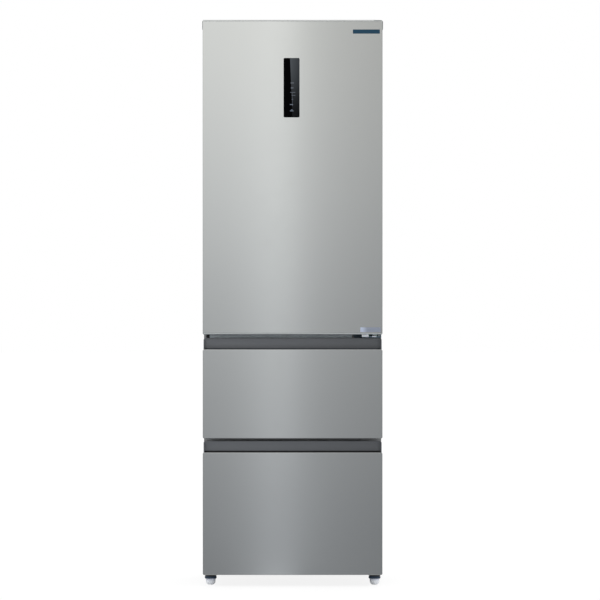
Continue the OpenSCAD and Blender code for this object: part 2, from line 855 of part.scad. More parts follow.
// Snake of tube in the drip tray, with a riser at each end
module condenser() {
    color([0.15, 0.15, 0.16]) {
        translate([coil_x, coil_y[0], coil_z]) snake(runs, run_l, run_pitch, tube_d / 2);
        for (y = coil_y) tube([[coil_x, y, coil_z], [coil_x, y, riser_z]]);
    }
}

// A tube through a list of points, each leg along X, Y or Z, with a ball at each point
module tube(points) {
    r = tube_d / 2;
    for (i = [0:len(points) - 2]) {
        a = points[i];
        b = points[i + 1];
        low = [for (k = [0:2]) min(a[k], b[k])];
        if (a[0] != b[0]) rod_x(low, r, abs(a[0] - b[0]));
        if (a[1] != b[1]) rod_y(low, r, abs(a[1] - b[1]));
        if (a[2] != b[2]) rod_z(low, r, abs(a[2] - b[2]));
    }
    for (i = [0:1:len(points) - 2]) if (i > 0) translate(points[i]) sphere(r);
}

// Pressure tube to the condenser, filter dryer above it, and suction tube from the freezer
module refrigerant_tubes() {
    roof = room_top - sheet_t;
    dryer_r = 9;
    dryer_l = 70;
    suction_x = stub_x + 14;
    color([0.72, 0.45, 0.30]) {
        tube([
            [stub_x, room_y - stub_y, stub_z], [coil_x, room_y - stub_y, stub_z],
            [coil_x, coil_y[0], stub_z], [coil_x, coil_y[0], riser_z]
        ]);
        rod_z([coil_x, coil_y[1], riser_z], dryer_r, dryer_l);
        tube([[coil_x, coil_y[1], riser_z + dryer_l - 1], [coil_x, coil_y[1], roof]]);
        tube([
            [stub_x, room_y + stub_y, stub_z], [suction_x, room_y + stub_y, stub_z],
            [suction_x, room_y + stub_y, roof]
        ]);
    }
}

module drip_tray() {
    color([0.25, 0.26, 0.28])
        tray([tray_x, tray_y, base_z1], [tray_x + tray_w, tray_y + tray_d, base_z1 + tray_h], 2);
}

// Louvred plate over the machine room
module rear_cover() {
    rows = 9;
    louvre = [110, 8];
    edge = 30;
    pitch = (room_top - base_z1 - 2 * edge) / rows;
    color(zinc_colour) difference() {
        slab(cab_x - sheet_t, [cover_y, cover_y + base_t], [base_z1, room_top - sheet_t]);
        for (i = [0:rows - 1]) for (x0 = [-120, 10, 140]) block(
            [x0, cover_y - eps, base_z1 + edge + i * pitch],
            [x0 + louvre[0], cover_y + base_t + eps, base_z1 + edge + i * pitch + louvre[1]]
        );
        inlet_body();
    }
}

// Body of the mains inlet behind the rear cover
module inlet_body() {
    block(
        [inlet_at[0] - inlet_body[0], cover_y - inlet_depth - 6, inlet_at[1] - inlet_body[1]],
        [inlet_at[0] + inlet_body[0], cover_y + base_t + eps, inlet_at[1] + inlet_body[1]]
    );
}

// Mains inlet on the rear cover with its three blades, without a cord
module mains_inlet() {
    flange_y = cover_y + base_t;
    color(black_colour) difference() {
        union() {
            inlet_body();
            block(
                [inlet_at[0] - inlet_flange[0], flange_y, inlet_at[1] - inlet_flange[1]],
                [inlet_at[0] + inlet_flange[0], cab_y1, inlet_at[1] + inlet_flange[1]]
            );
        }
        block(
            [inlet_at[0] - inlet_mouth[0], cover_y - inlet_depth, inlet_at[1] - inlet_mouth[1]],
            [inlet_at[0] + inlet_mouth[0], cab_y1 + eps, inlet_at[1] + inlet_mouth[1]]
        );
    }
    color(black_colour) for (blade = [[-7, -2], [0, 3], [7, -2]]) block(
        [inlet_at[0] + blade[0] - 1, cover_y - inlet_depth - eps, inlet_at[1] + blade[1] - 2],
        [inlet_at[0] + blade[0] + 1, cover_y - 4, inlet_at[1] + blade[1] + 2]
    );
}

// Electronics box on the base plate
module control_board() {
    color([0.85, 0.86, 0.87]) block(
        [-cab_x + box_side, room_y0 + box_front, base_z1],
        [-cab_x + box_side + box_w, room_y0 + box_front + box_d, base_z1 + box_h]
    );
}

module roller_axles() {
    color(zinc_colour) for (side = [-1, 1])
        rod_x([side * roller_x - axle_l / 2, roller_y, roller_r], axle_d / 2, axle_l);
}

module roller(side) {
    color([0.85, 0.85, 0.84]) difference() {
        rod_x([side * roller_x - roller_w / 2, roller_y, roller_r], roller_r, roller_w);
        rod_x([side * roller_x - roller_w, roller_y, roller_r], axle_d / 2 + run_gap, 2 * roller_w);
    }
}

module roller_left() {
    roller(-1);
}

module roller_right() {
    roller(1);
}

// Levelling foot: a pad with a rounded rim and a stud into the base frame
module foot(side) {
    r = foot_d / 2;
    rim = 3;
    color([0.80, 0.83, 0.86]) translate([side * foot_x, foot_y, 0]) {
        rotate_extrude() {
            square([r - rim, foot_top]);
            translate([0, rim]) square([r, foot_top - rim]);
            intersection() {
                translate([r - rim, rim]) circle(rim);
                square([r, foot_top]);
            }
        }
        cylinder(r = stud_d / 2, h = stud_top - 0.5);
    }
}

module foot_left() {
    foot(-1);
}

module foot_right() {
    foot(1);
}

// One member of the right-hand slide. Level 0 is fixed, 1 is the middle member, 2 is on the drawer
module slide_member(level, y0, z) {
    half = slide_h / 2 - level * (slide_t + slide_gap);
    outer_x = cavity_x - level * (slide_t + slide_gap);
    inner_x = level == 2 ? basket_x : cavity_x - slide_w + 5 - level * 1.5;
    web_x0 = level == 2 ? inner_x : outer_x - slide_t;
    block([web_x0, y0, z - half], [web_x0 + slide_t, slide_y1, z + half]);
    for (side = [-1, 1]) {
        edge = side * half;
        block(
            [inner_x, y0, z + min(edge, edge - side * slide_t)],
            [outer_x, slide_y1, z + max(edge, edge - side * slide_t)]
        );
    }
}

module fixed_slides() {
    color(zinc_colour) both_sides() {
        slide_member(0, slide_y0, upper_slide_z);
        slide_member(0, slide_y0, lower_slide_z);
    }
}

module upper_middle_slides() {
    color(zinc_colour) both_sides() slide_member(1, slide_y0, upper_slide_z);
}

module lower_middle_slides() {
    color(zinc_colour) both_sides() slide_member(1, slide_y0, lower_slide_z);
}

module upper_drawer_slides() {
    color(zinc_colour) both_sides() slide_member(2, front_back_y, upper_slide_z);
}

module lower_drawer_slides() {
    color(zinc_colour) both_sides() slide_member(2, front_back_y, lower_slide_z);
}

// Vegetable drawer with a pull lip along its front
module crisper(side) {
    lip_in = 30;
    lip_drop = 16;
    lip_t = 4;
    x0 = side > 0 ? crisper_gap / 2 : -cavity_x + crisper_gap;
    x1 = side > 0 ? cavity_x - crisper_gap : -crisper_gap / 2;
    color(clear_colour) {
        tray([x0, crisper_y0, crisper_z], [x1, crisper_y1, crisper_z + crisper_h], bin_t);
        block(
            [x0 + lip_in, crisper_y0 - crisper_lip, crisper_z + crisper_h - lip_drop],
            [x1 - lip_in, crisper_y0 + eps, crisper_z + crisper_h - lip_drop + lip_t]
        );
    }
}

module crisper_left() {
    crisper(-1);
}

module crisper_right() {
    crisper(1);
}

// Outline of the display seen from the front
module display_hole(y, z_in, x_in) {
    block(
        [display_x - display_w / 2 + x_in, y[0], door_z1 - display_drop - display_h + z_in],
        [display_x + display_w / 2 - x_in, y[1], door_z1 - display_drop - z_in]
    );
}

module door_skin() {
    color(steel_colour) difference() {
        folded_skin([door_z0 + cap_lip_h, door_z1 - cap_lip_h]);
        display_hole([skin_y - eps, skin_y + skin_t + eps], 0, 0);
    }
}

// Top and bottom end caps, bored for the bushes, with room for the top hinge arm
module door_end_caps() {
    pull_side = 24;
    pull_front = 12;
    pull_back = 10;
    color([0.52, 0.53, 0.54]) difference() {
        union() {
            for (z = [door_z0, door_z1 - cap_lip_h])
                translate([0, skin_y, z]) linear_extrude(cap_lip_h) front_plan(front_w, front_t, edge_r);
            translate([0, skin_y, door_z0 + cap_lip_h - eps])
                linear_extrude(cap_h - cap_lip_h + eps) inside_plan(front_t);
            translate([0, skin_y, door_z1 - cap_h])
                linear_extrude(cap_h - cap_lip_h + eps) inside_plan(front_t);
        }
        block([recess_x, skin_y - eps, door_z1 - cap_lip_h], [half_w + eps, front_back_y + eps, door_z1 + eps]);
        rod_z([pivot_x, pivot_y, door_z0 - eps], bush_d / 2, cap_h + 2 * eps);
        rod_z([pivot_x, pivot_y, door_z1 - cap_h - eps], bush_d / 2, cap_h + 2 * eps);
        block(
            [-half_w + pull_side, skin_y + pull_front, door_z0 - eps],
            [-half_w + pull_side + pull_l, front_back_y - pull_back, door_z0 + pull_d]
        );
    }
}

module door_foam() {
    color(foam_colour) difference() {
        translate([0, skin_y, door_z0 + cap_h])
            linear_extrude(door_z1 - door_z0 - 2 * cap_h) inside_plan(front_t - liner_t);
        display_hole([skin_y - eps, skin_y - glass_proud + display_t], 0, 0);
    }
}

// White inner door with a raised border that holds the bins
module door_liner() {
    z0 = door_in_z[0];
    z1 = door_in_z[1];
    color(liner_colour) {
        slab(inner_w / 2, [front_back_y - liner_t, front_back_y], [door_z0 + cap_h, door_z1 - cap_h]);
        upright_frame(dyke_x, [z0, z1], dyke_w, [front_back_y - eps, front_back_y + dyke_d]);
    }
}

// A hollow sealing frame, seated on the back of a front
module gasket(z) {
    y0 = front_back_y;
    y1 = cab_y0 - seal_gap;
    color(seal_colour) upright_frame(seal_x, z, seal_w, [y0, y1]);
}

module door_gasket() {
    gasket(door_seal);
}

module display_glass() {
    color(black_colour) {
        display_hole([skin_y - glass_proud, skin_y - glass_proud + 3], 0.3, 0.3);
        display_hole([skin_y - glass_proud + 3 - eps, skin_y - glass_proud + display_t], 3, 3);
    }
}

// A blank strip under the top edge and a blank label above the bottom edge
module blank_plates() {
    badge_x = half_w - badge_side;
    badge_z = door_z1 - badge_drop;
    label_x = half_w - label_side;
    label_z = door_z0 + label_rise;
    color([0.16, 0.28, 0.38])
        block([badge_x - badge_w, skin_y - plate_t, badge_z - badge_h], [badge_x, skin_y, badge_z]);
    color([0.58, 0.63, 0.72])
        block([label_x - label_w, skin_y - plate_t, label_z], [label_x, skin_y, label_z + label_h]);
}

module door_bin(z, h) {
    tray([-bin_x, bin_y0, z], [bin_x, bin_y1, z + h], bin_t);
}

module balconies() {
    color(clear_colour) for (i = [0:balconies_n - 1]) door_bin(balcony_z0 + i * balcony_step, balcony_h);
}

module bottle_bin() {
    color(clear_colour) door_bin(bottle_z, bottle_bin_h);
}

// Nylon bushes for both pins, and the closing stop under the door
module door_bushes() {
    color([0.86, 0.88, 0.90]) {
        difference() {
            union() {
                rod_z([pivot_x, pivot_y, bush_bottom], bush_d / 2, door_z0 + cap_h - bush_bottom);
                rod_z([pivot_x, pivot_y, door_z1 - cap_h], bush_d / 2, cap_h - cap_lip_h);
            }
            rod_z([pivot_x, pivot_y, 0], pin_d / 2 + run_gap, total_h + 1);
        }
        block(
            [stop_x, stop_y[0], door_z0 - stop_h],
            [stop_x + stop_w, stop_y[1], door_z0]
        );
    }
}

// Steel of a drawer front: folded sides, a closed foot and a lip along the top
module drawer_skin(z0, z1) {
    color(steel_colour) {
        folded_skin([z0, z1]);
        translate([0, skin_y, z0]) linear_extrude(skin_t) front_plan(front_w, front_t, edge_r);
        translate([0, skin_y, z1 - skin_t]) linear_extrude(skin_t) intersection() {
            front_plan(front_w, front_t, edge_r);
            translate([-half_w, 0]) square([front_w, steel_lip]);
        }
    }
}

// Section of the grip moulding, from the front of the steel and from its top edge
function grip_section() = [
    [skin_t, -skin_t], [skin_t, -channel_d - grip_wall], [front_t, -channel_d - grip_wall],
    [front_t, -channel_d], [grip_recess + grip_wall, -channel_d],
    [grip_recess + grip_wall, grip_h - grip_wall], [front_t, grip_h - grip_wall],
    [front_t, grip_h], [grip_recess, grip_h], [grip_recess, -channel_d],
    [skin_t + grip_wall, -channel_d], [skin_t + grip_wall, -skin_t]
];

// Dark moulding behind and above the top edge of the steel, closed at both ends
module drawer_grip(z1) {
    half = half_w - grip_end_in;
    color(grip_colour) intersection() {
        translate([0, skin_y, z1]) union() {
            rotate([90, 0, 90]) translate([0, 0, -half]) linear_extrude(2 * half) polygon(grip_section());
            for (side = [-1, 1]) {
                x = side * half;
                block(
                    [min(x, x - side * grip_wall), steel_lip + 4, -channel_d - grip_wall],
                    [max(x, x - side * grip_wall), front_t, grip_h]
                );
            }
        }
        translate([0, skin_y + front_t + eps, 0]) rotate([90, 0, 0]) linear_extrude(front_t + 2 * eps)
            grip_face(z1 - channel_d - grip_wall - eps, z1 + grip_h);
    }
}

// Front view of the grip band, with rounded upper corners
module grip_face(z0, z1) {
    half = half_w - grip_end_in;
    r = grip_corner_r;
    translate([-half, z0]) square([2 * half, z1 - z0 - r]);
    translate([-half + r, z0]) square([2 * (half - r), z1 - z0]);
    for (side = [-1, 1]) translate([side * (half - r), z1 - r]) circle(r);
}

// White inner panel with its foam, behind the steel and behind the grip wall
module drawer_core(z0, z1) {
    half = half_w - grip_end_in - grip_wall;
    color(liner_colour) {
        translate([0, skin_y, z0 + skin_t])
            linear_extrude(z1 - z0 - channel_d - grip_wall - skin_t) inside_plan(front_t);
        slab(
            half,
            [skin_y + grip_recess + grip_wall, front_back_y],
            [z1 - channel_d, z1 + grip_h - grip_wall]
        );
    }
}

module upper_drawer_skin() {
    drawer_skin(upper_z0, upper_z1);
}

module upper_drawer_grip() {
    drawer_grip(upper_z1);
}

module upper_drawer_core() {
    drawer_core(upper_z0, upper_z1);
}

module upper_drawer_gasket() {
    gasket(upper_seal);
}

module upper_drawer_basket() {
    color(clear_colour) tray(
        [-basket_x, front_back_y, upper_mouth[0] + basket_gap],
        [basket_x, basket_y1, upper_mouth[1] - basket_top_gap], bin_t
    );
}

module lower_drawer_skin() {
    drawer_skin(lower_z0, lower_z1);
}

module lower_drawer_grip() {
    drawer_grip(lower_z1);
}

module lower_drawer_core() {
    drawer_core(lower_z0, lower_z1);
}

module lower_drawer_gasket() {
    gasket(lower_seal);
}

// Side view of the stepped lower basket, shrunk by the wall for its inside
function basket_section(t, top) = [
    [front_back_y + t, lower_mouth[0] + basket_gap + t], [step_y - basket_gap - t, lower_mouth[0] + basket_gap + t],
    [step_y - basket_gap - t, step_z + basket_gap + t], [basket_y1 - t, step_z + basket_gap + t],
    [basket_y1 - t, top], [front_back_y + t, top]
];

module lower_drawer_basket() {
    top = lower_mouth[1] - basket_top_gap;
    color(clear_colour) difference() {
        rotate([90, 0, 90]) translate([0, 0, -basket_x]) linear_extrude(2 * basket_x)
            polygon(basket_section(0, top));
        rotate([90, 0, 90]) translate([0, 0, -basket_x + bin_t]) linear_extrude(2 * (basket_x - bin_t))
            polygon(basket_section(bin_t, top + eps));
    }
}

outer_panels();
back_panel();
base_frame();
cabinet_foam();
fridge_liner();
freezer_liners();
front_rails();
gap_strip();
top_cover();
top_hinge();
lower_hinge();
hinge_blank();
glass_shelves();
shelf_trims();
lamp_lens();
fridge_duct();
freezer_duct();
evaporator();
fan_motor();
fan_rotor();
compressor();
compressor_mounts();
condenser();
refrigerant_tubes();
drip_tray();
rear_cover();
mains_inlet();
control_board();
roller_axles();
roller_left();
roller_right();
foot_left();
foot_right();
fixed_slides();
upper_middle_slides();
lower_middle_slides();
crisper_left();
crisper_right();
door_skin();
door_end_caps();
door_foam();
door_liner();
door_gasket();
display_glass();
blank_plates();
balconies();
bottle_bin();
door_bushes();
upper_drawer_skin();
upper_drawer_grip();
upper_drawer_core();
upper_drawer_gasket();
upper_drawer_basket();
upper_drawer_slides();
lower_drawer_skin();
lower_drawer_grip();
lower_drawer_core();
lower_drawer_gasket();
lower_drawer_basket();
lower_drawer_slides();
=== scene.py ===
"""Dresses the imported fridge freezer: finished surfaces, trim and a plain studio, all in the CAD frame."""

import json
import math

import bmesh
import bpy
import numpy as np
from bpy.props import FloatProperty, FloatVectorProperty, PointerProperty
from bpy.types import Operator, Panel, PropertyGroup
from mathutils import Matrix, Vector

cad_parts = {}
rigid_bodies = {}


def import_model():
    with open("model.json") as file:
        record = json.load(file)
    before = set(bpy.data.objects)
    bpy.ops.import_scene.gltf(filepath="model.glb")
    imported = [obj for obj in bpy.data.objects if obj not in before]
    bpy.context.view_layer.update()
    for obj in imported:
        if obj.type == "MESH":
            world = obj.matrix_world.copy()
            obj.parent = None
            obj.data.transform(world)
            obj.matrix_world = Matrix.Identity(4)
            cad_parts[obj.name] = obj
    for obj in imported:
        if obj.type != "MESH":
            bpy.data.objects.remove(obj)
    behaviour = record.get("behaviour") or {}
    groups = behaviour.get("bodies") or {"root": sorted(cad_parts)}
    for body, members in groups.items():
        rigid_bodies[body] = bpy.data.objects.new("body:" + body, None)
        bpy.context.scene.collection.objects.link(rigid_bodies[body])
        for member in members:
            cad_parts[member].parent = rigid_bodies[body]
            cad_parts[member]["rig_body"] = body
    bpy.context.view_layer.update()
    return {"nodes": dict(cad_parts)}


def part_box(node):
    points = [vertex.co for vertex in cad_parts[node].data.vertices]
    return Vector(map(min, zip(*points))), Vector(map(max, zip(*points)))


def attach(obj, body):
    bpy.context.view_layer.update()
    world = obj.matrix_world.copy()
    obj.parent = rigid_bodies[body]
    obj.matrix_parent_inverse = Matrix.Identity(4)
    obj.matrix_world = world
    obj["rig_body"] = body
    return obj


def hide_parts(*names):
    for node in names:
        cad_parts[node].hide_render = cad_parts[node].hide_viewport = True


bl_info = {
    "name": "Fridge freezer dressing",
    "version": (1, 0, 0),
    "blender": (4, 5, 0),
    "location": "3D View > Sidebar > Fridge",
    "description": "Builds the finished fridge freezer on its CAD frame",
    "category": "Object",
}

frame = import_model()
NODES = frame["nodes"]
AXES = {"x": (1, 2, 0), "y": (0, 2, 1), "z": (0, 1, 2)}
FINISHES = {}
EFFECTS = {}

# Edges that turn more than this stay sharp, and points closer than this are one point
CREASE = math.radians(32)
MERGE = 2e-6
MILLIMETRE = 0.001


def size(name, default, description):
    """A length property in metres."""
    return FloatProperty(name=name, description=description, default=default, unit="LENGTH", precision=5)


def tint(name, default, description):
    """A linear colour property."""
    return FloatVectorProperty(
        name=name, description=description, default=default, size=3, subtype="COLOR", min=0, max=1
    )


def reading(red, green, blue):
    """Linear colour of a screen colour: ((c + 0.055) / 1.055) ** 2.4 above 0.04045, c / 12.92 below."""
    screen = np.array([red, green, blue]) / 255
    return tuple(np.where(screen > 0.04045, ((screen + 0.055) / 1.055) ** 2.4, screen / 12.92))


class FrontSizes(PropertyGroup):
    """Steel fronts, grips and the small things on the door."""

    sheet: size("Sheet", 0.0007, "Thickness of the steel")
    edge: size("Edge radius", 0.0018, "Radius of the rounded edges of the fronts")
    drawer_corner: size("Drawer corner", 0.0048, "Corner radius of the drawer fronts")
    door_corner: size("Door corner", 0.0010, "Corner radius of the door's steel")
    cap_corner: size("Cap corner", 0.0034, "Corner radius of the door's end caps")
    top_lip: size("Top lip", 0.0060, "Depth of the steel lip above each grip channel")
    display_corner: size("Display corner", 0.0042, "Corner radius of the display")
    plate_corner: size("Plate corner", 0.0012, "Corner radius of the strip and the label")
    grip_edge: size("Grip edge", 0.0010, "Radius of the edges of the grip mouldings")
    grip_corner: size("Grip corner", 0.0052, "Radius of the top corners of the grip mouldings")


class InteriorSizes(PropertyGroup):
    """Liners, bins and seals."""

    liner_corner: size("Liner corner", 0.009, "Radius of the corners of the fridge liner")
    dyke_corner: size("Border corner", 0.016, "Corner radius of the raised border on the door liner")
    bin_corner: size("Bin corner", 0.014, "Corner radius of the bins seen from above")
    bin_wall: size("Bin wall", 0.0025, "Wall of the clear bins")
    rim: size("Rim", 0.006, "Height of the thickened rim of the bins")
    seal_corner: size("Seal corner", 0.003, "Corner radius of the door seals")


class FinishColours(PropertyGroup):
    """Colours that a user would change."""

    steel: tint("Steel", (0.640, 0.648, 0.640), "Reflection of the steel fronts")
    paint: tint("Cabinet", reading(150, 151, 152), "Paint of the cabinet")
    grip: tint("Grips", reading(89, 92, 97), "Moulded grips of the drawers")
    cap: tint("End caps", reading(187, 189, 188), "End caps of the door")
    cover: tint("Top cover", reading(110, 112, 113), "Cover on the roof")
    # Near white, lighter than the strip itself: painted light so that it reads lighter in the shade of the
    # gap.
    strip: tint("Gap strip", reading(236, 246, 255), "Strip between door and drawer")
    badge: tint("Badge strip", reading(16, 58, 81), "Blank strip near the top edge")
    label: tint("Label", reading(127, 134, 149), "Blank label near the bottom edge")
    liner: tint("Liner", reading(242, 245, 247), "White inner walls")
    clear: tint("Clear plastic", (0.92, 0.965, 0.98), "Bins and baskets")
    seal: tint("Seals", reading(150, 152, 155), "Door seals")
    foot: tint("Feet", reading(246, 249, 255), "Levelling feet")


class StageSizes(PropertyGroup):
    """Camera, floor and studio light."""

    distance: size("Camera distance", 17.03, "From the middle of the fridge to the camera")
    camera_x: size("Camera side", 0.0247, "Sideways place of the camera")
    camera_z: size("Camera height", 1.10, "Height of the camera")
    aim_z: size("Picture height", 0.956, "Height shown in the middle of the picture at the fronts")
    lens: FloatProperty(name="Lens", description="Focal length in millimetres", default=300.4)
    floor: size("Floor", 40.0, "Half width of the floor")
    scrim_y: size("Light panel distance", -1.65, "Depth of the graded light panel in front")
    scrim_level: FloatProperty(name="Light panel level", description="Brightness of the panel", default=1.0)
    world_level: FloatProperty(name="Ambient level", description="Brightness of the room", default=0.55)


# Shapes


def corners(node):
    """Lowest and highest corner of a CAD node as arrays."""
    low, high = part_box(node)
    return np.array(low), np.array(high)


def centred(low, high):
    """Middle and half size of the box between two corners."""
    return (low + high) / 2, (high - low) / 2


def arc(centre, radius, start, stop, steps=4):
    """Points centre + radius * (cos a, sin a), with a from start to stop in quarter turns."""
    turn = np.linspace(start, stop, steps + 1) * math.pi / 2
    return np.asarray(centre) + radius * np.stack([np.cos(turn), np.sin(turn)], axis=1)


def path(*parts):
    """One profile out of points and arcs, in order."""
    return np.concatenate([np.atleast_2d(np.asarray(part, float)) for part in parts])


def rays(steps):
    """Directions (cos a, sin a) round four quarter arcs, and the signs of the corner each belongs to."""
    turn = np.concatenate([np.linspace(q, q + 1, steps + 1) for q in range(4)]) * math.pi / 2
    sign = np.repeat([[1, 1], [-1, 1], [-1, -1], [1, -1]], steps + 1, axis=0)
    return np.stack([np.cos(turn), np.sin(turn)], axis=1), sign


def quads(rows, columns, ring_rows=False, ring_columns=True):
    """Corner numbers of the quads of a grid, closed in either direction where asked."""
    i = np.arange(rows if ring_rows else rows - 1)[:, None]
    j = np.arange(columns if ring_columns else columns - 1)[None, :]
    after_i, after_j = (i + 1) % rows, (j + 1) % columns
    square = [i * columns + j, i * columns + after_j, after_i * columns + after_j, after_i * columns + j]
    return np.stack(np.broadcast_arrays(*square), axis=-1).reshape(-1, 4)


def carried(centre, half, radius, profile, axis="y", steps=6, ring=False):
    """A profile of (offset, height) carried round a rounded rectangle.

    Point (i, j) = centre + sign_j * (half + offset_i - r_i) + r_i * ray_j at height_i along the axis,
    with r_i = max(radius + offset_i, 0). A ring joins its last row to its first.
    Any other shape has a cap at each end.
    """
    ray, sign = rays(steps)
    profile = np.asarray(profile, float)
    if profile.ndim == 2:
        profile = np.repeat(profile[:, None, :], len(ray), axis=1)
    offset, height = profile[..., 0], profile[..., 1]
    bend = np.maximum(radius + offset, 1e-7)[..., None]
    flat = np.asarray(centre) + sign * (np.asarray(half) + offset[..., None] - bend) + bend * ray
    rows, columns = offset.shape
    u, v, w = AXES[axis]
    points = np.empty((rows, columns, 3))
    points[..., u], points[..., v], points[..., w] = flat[..., 0], flat[..., 1], height
    first, last = np.arange(columns), np.arange(columns) + (rows - 1) * columns
    caps = [] if ring else [first.tolist(), last.tolist()]
    return points.reshape(-1, 3), quads(rows, columns, ring), caps


def carried_front(low, high, radius, profile, steps=8, ring=False):
    """A profile of (offset, y) carried round the front outline of the box between two corners."""
    middle, half = centred(low, high)
    return carried(middle[[0, 2]], half[[0, 2]], radius, profile, "y", steps, ring)


def soft_block(low, high, radius, axis="z", steps=3):
    """A box whose edges and corners are all rounded to one radius."""
    low, high = np.minimum(low, high), np.maximum(low, high)
    u, v, w = AXES[axis]
    foot = arc((-radius, low[w] + radius), radius, -1, 0, steps)
    top = arc((-radius, high[w] - radius), radius, 0, 1, steps)
    middle, half = centred(low, high)
    return carried(middle[[u, v]], half[[u, v]], radius, path(foot, top), axis, steps)


def turned(centre, profile, axis="z", steps=10, ring=False):
    """A profile of (radius, height) turned round an axis through the centre."""
    return carried(centre, (0, 0), 0, profile, axis, steps, ring)


def stacked(rows, base):
    """A profile that varies round its outline: rows of offsets and heights above the base."""
    return [np.stack(np.broadcast_arrays(radii, base + up), axis=1) for radii, up in rows]


def open_bin(low, high, pick):
    """A moulded bin: outside from the floor up, over a thick rim, and down the inside."""
    middle, half = centred(low, high)
    foot, top, wall = low[2], high[2], pick.bin_wall
    draft, fillet, step, crown, lip = 0.0015, 0.006, 0.0008, 0.0012, 0.001
    lean = draft + fillet + lip
    rim_foot = top - pick.rim
    profile = path(
        arc((-lean, foot + fillet), fillet, -1, 0, 5),
        (-draft, rim_foot - lip),
        arc((-step, rim_foot), step, -1, 0, 2),
        arc((-crown, top - crown), crown, 0, 1, 3),
        arc((-wall, top - lip), lip, 1, 2, 3),
        (-wall - draft, rim_foot - 2 * lip),
        arc((-wall - lean, foot + wall + fillet), fillet, 0, -1, 5),
    )
    return carried(middle[:2], half[:2], pick.bin_corner, profile, "z", 8)


def pressed_sheet(low, high, relief, spacing):
    """A sheet in the XZ plane at y = high.y - relief(x, z), on a grid of the given spacing."""
    x, z = (np.linspace(low[k], high[k], int((high[k] - low[k]) / spacing) + 1) for k in (0, 2))
    grid_x, grid_z = np.meshgrid(x, z, indexing="ij")
    points = np.stack([grid_x, high[1] - relief(grid_x, grid_z), grid_z], axis=-1)
    return points.reshape(-1, 3), quads(len(x), len(z), ring_columns=False), []


def plate(outline, z0, z1):
    """A flat plate: the outline (x, y) at both heights."""
    count = len(outline)
    level = [np.column_stack([outline, np.full(count, z)]) for z in (z0, z1)]
    caps = [list(range(count)), list(range(count, 2 * count))]
    return np.concatenate(level), quads(2, count), caps


def round_points(centre, radius, turns):
    """Points centre + radius * (cos a, sin a) at the given angles."""
    return centre + radius * np.stack([np.cos(turns), np.sin(turns)], axis=1)


def hex_screw(centre, seat):
    """A washer head along y: a flange, then flats at 0.6 radius / cos(angle to the nearest flat)."""
    radius, half_flat = 0.004, math.pi / 6
    ray, _ = rays(6)
    turn = np.arctan2(ray[:, 1], ray[:, 0])
    flange = np.full(len(ray), radius)
    flats = radius * 0.60 / np.cos((turn + half_flat) % (2 * half_flat) - half_flat)
    rows = [(flange, 0), (flange, 0.0004), (flange * 0.92, 0.0006), (flats, 0.0007), (flats, 0.0014)]
    rows += [(flats * 0.86, 0.0017), (flats * 0.5, 0.0017), (flats * 0.35, 0.0013)]
    return turned(centre, stacked(rows, seat), "y", 6)


def mesh_of(name, parts):
    """Shapes put in one mesh: doubles merged, faces outward."""
    starts = np.cumsum([0] + [len(points) for points, _, _ in parts])
    faces = []
    for start, (_, squares, caps) in zip(starts, parts):
        faces += (squares + start).tolist()
        faces += [[int(start) + corner for corner in cap] for cap in caps]
    mesh = bpy.data.meshes.new(name)
    mesh.from_pydata(np.concatenate([points for points, _, _ in parts]).tolist(), [], faces)
    shape = bmesh.new()
    shape.from_mesh(mesh)
    bmesh.ops.remove_doubles(shape, verts=shape.verts, dist=MERGE)
    bmesh.ops.dissolve_degenerate(shape, edges=shape.edges, dist=MERGE / 2)
    bmesh.ops.recalc_face_normals(shape, faces=shape.faces)
    shape.to_mesh(mesh)
    shape.free()
    return mesh


def placed(name, mesh, slot, body, stands_for=()):
    """An object for the mesh, finished, shaded by angle, riding on its body."""
    mesh.shade_smooth()
    mesh.set_sharp_from_angle(angle=CREASE)
    mesh.materials.clear()
    mesh.materials.append(FINISHES[slot])
    made = bpy.data.objects.new(name, mesh)
    bpy.context.scene.collection.objects.link(made)
    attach(made, body)
    if stands_for:
        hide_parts(*stands_for)
    return made


def piece(name, parts, slot, body, stands_for=(), flat=True):
    """A new piece; area weighted normals keep its broad faces flat."""
    made = placed(name, mesh_of(name, parts), slot, body, stands_for)
    if flat:
        made.modifiers.new("Flat faces", "WEIGHTED_NORMAL").keep_sharp = True
    return made


def remade(name, parts, slot, node, flat=True):
    """A new piece that stands for one CAD node and rides on its body."""
    return piece(name, parts, slot, body_of(node), (node,), flat)


def lit_through(made):
    """Clear plastic and glass cast no dark shadow on what they hold."""
    made.visible_shadow = False


def walled(made, thickness, offset):
    """Gives a sheet its thickness, to one side or to both."""
    wall = made.modifiers.new("Sheet", "SOLIDIFY")
    wall.thickness, wall.offset = thickness, offset


def bevelled(made, width, segments=2):
    """Rounds the edges of a piece."""
    bevel = made.modifiers.new("Rounded edges", "BEVEL")
    bevel.width, bevel.segments = width, segments
    bevel.harden_normals = True
    return bevel


def body_of(node):
    """Name of the body that a CAD node rides on."""
    return NODES[node]["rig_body"]


def softened(node, slot, width=0.0008, segments=2, clip=None):
    """A merged copy of a CAD node with its edges rounded, in the node's place."""
    mesh = NODES[node].data.copy()
    shape = bmesh.new()
    shape.from_mesh(mesh)
    bmesh.ops.remove_doubles(shape, verts=shape.verts, dist=MERGE)
    if clip:
        clip(shape)
    bmesh.ops.dissolve_limit(
        shape, angle_limit=math.radians(1.0), verts=shape.verts, edges=shape.edges,
        use_dissolve_boundaries=False,
    )
    shape.to_mesh(mesh)
    shape.free()
    made = placed(node + "_dressed", mesh, slot, body_of(node), (node,))
    if width:
        bevel = bevelled(made, width, segments)
        bevel.limit_method, bevel.angle_limit = "ANGLE", CREASE
        bevel.miter_outer = "MITER_ARC"
    return made


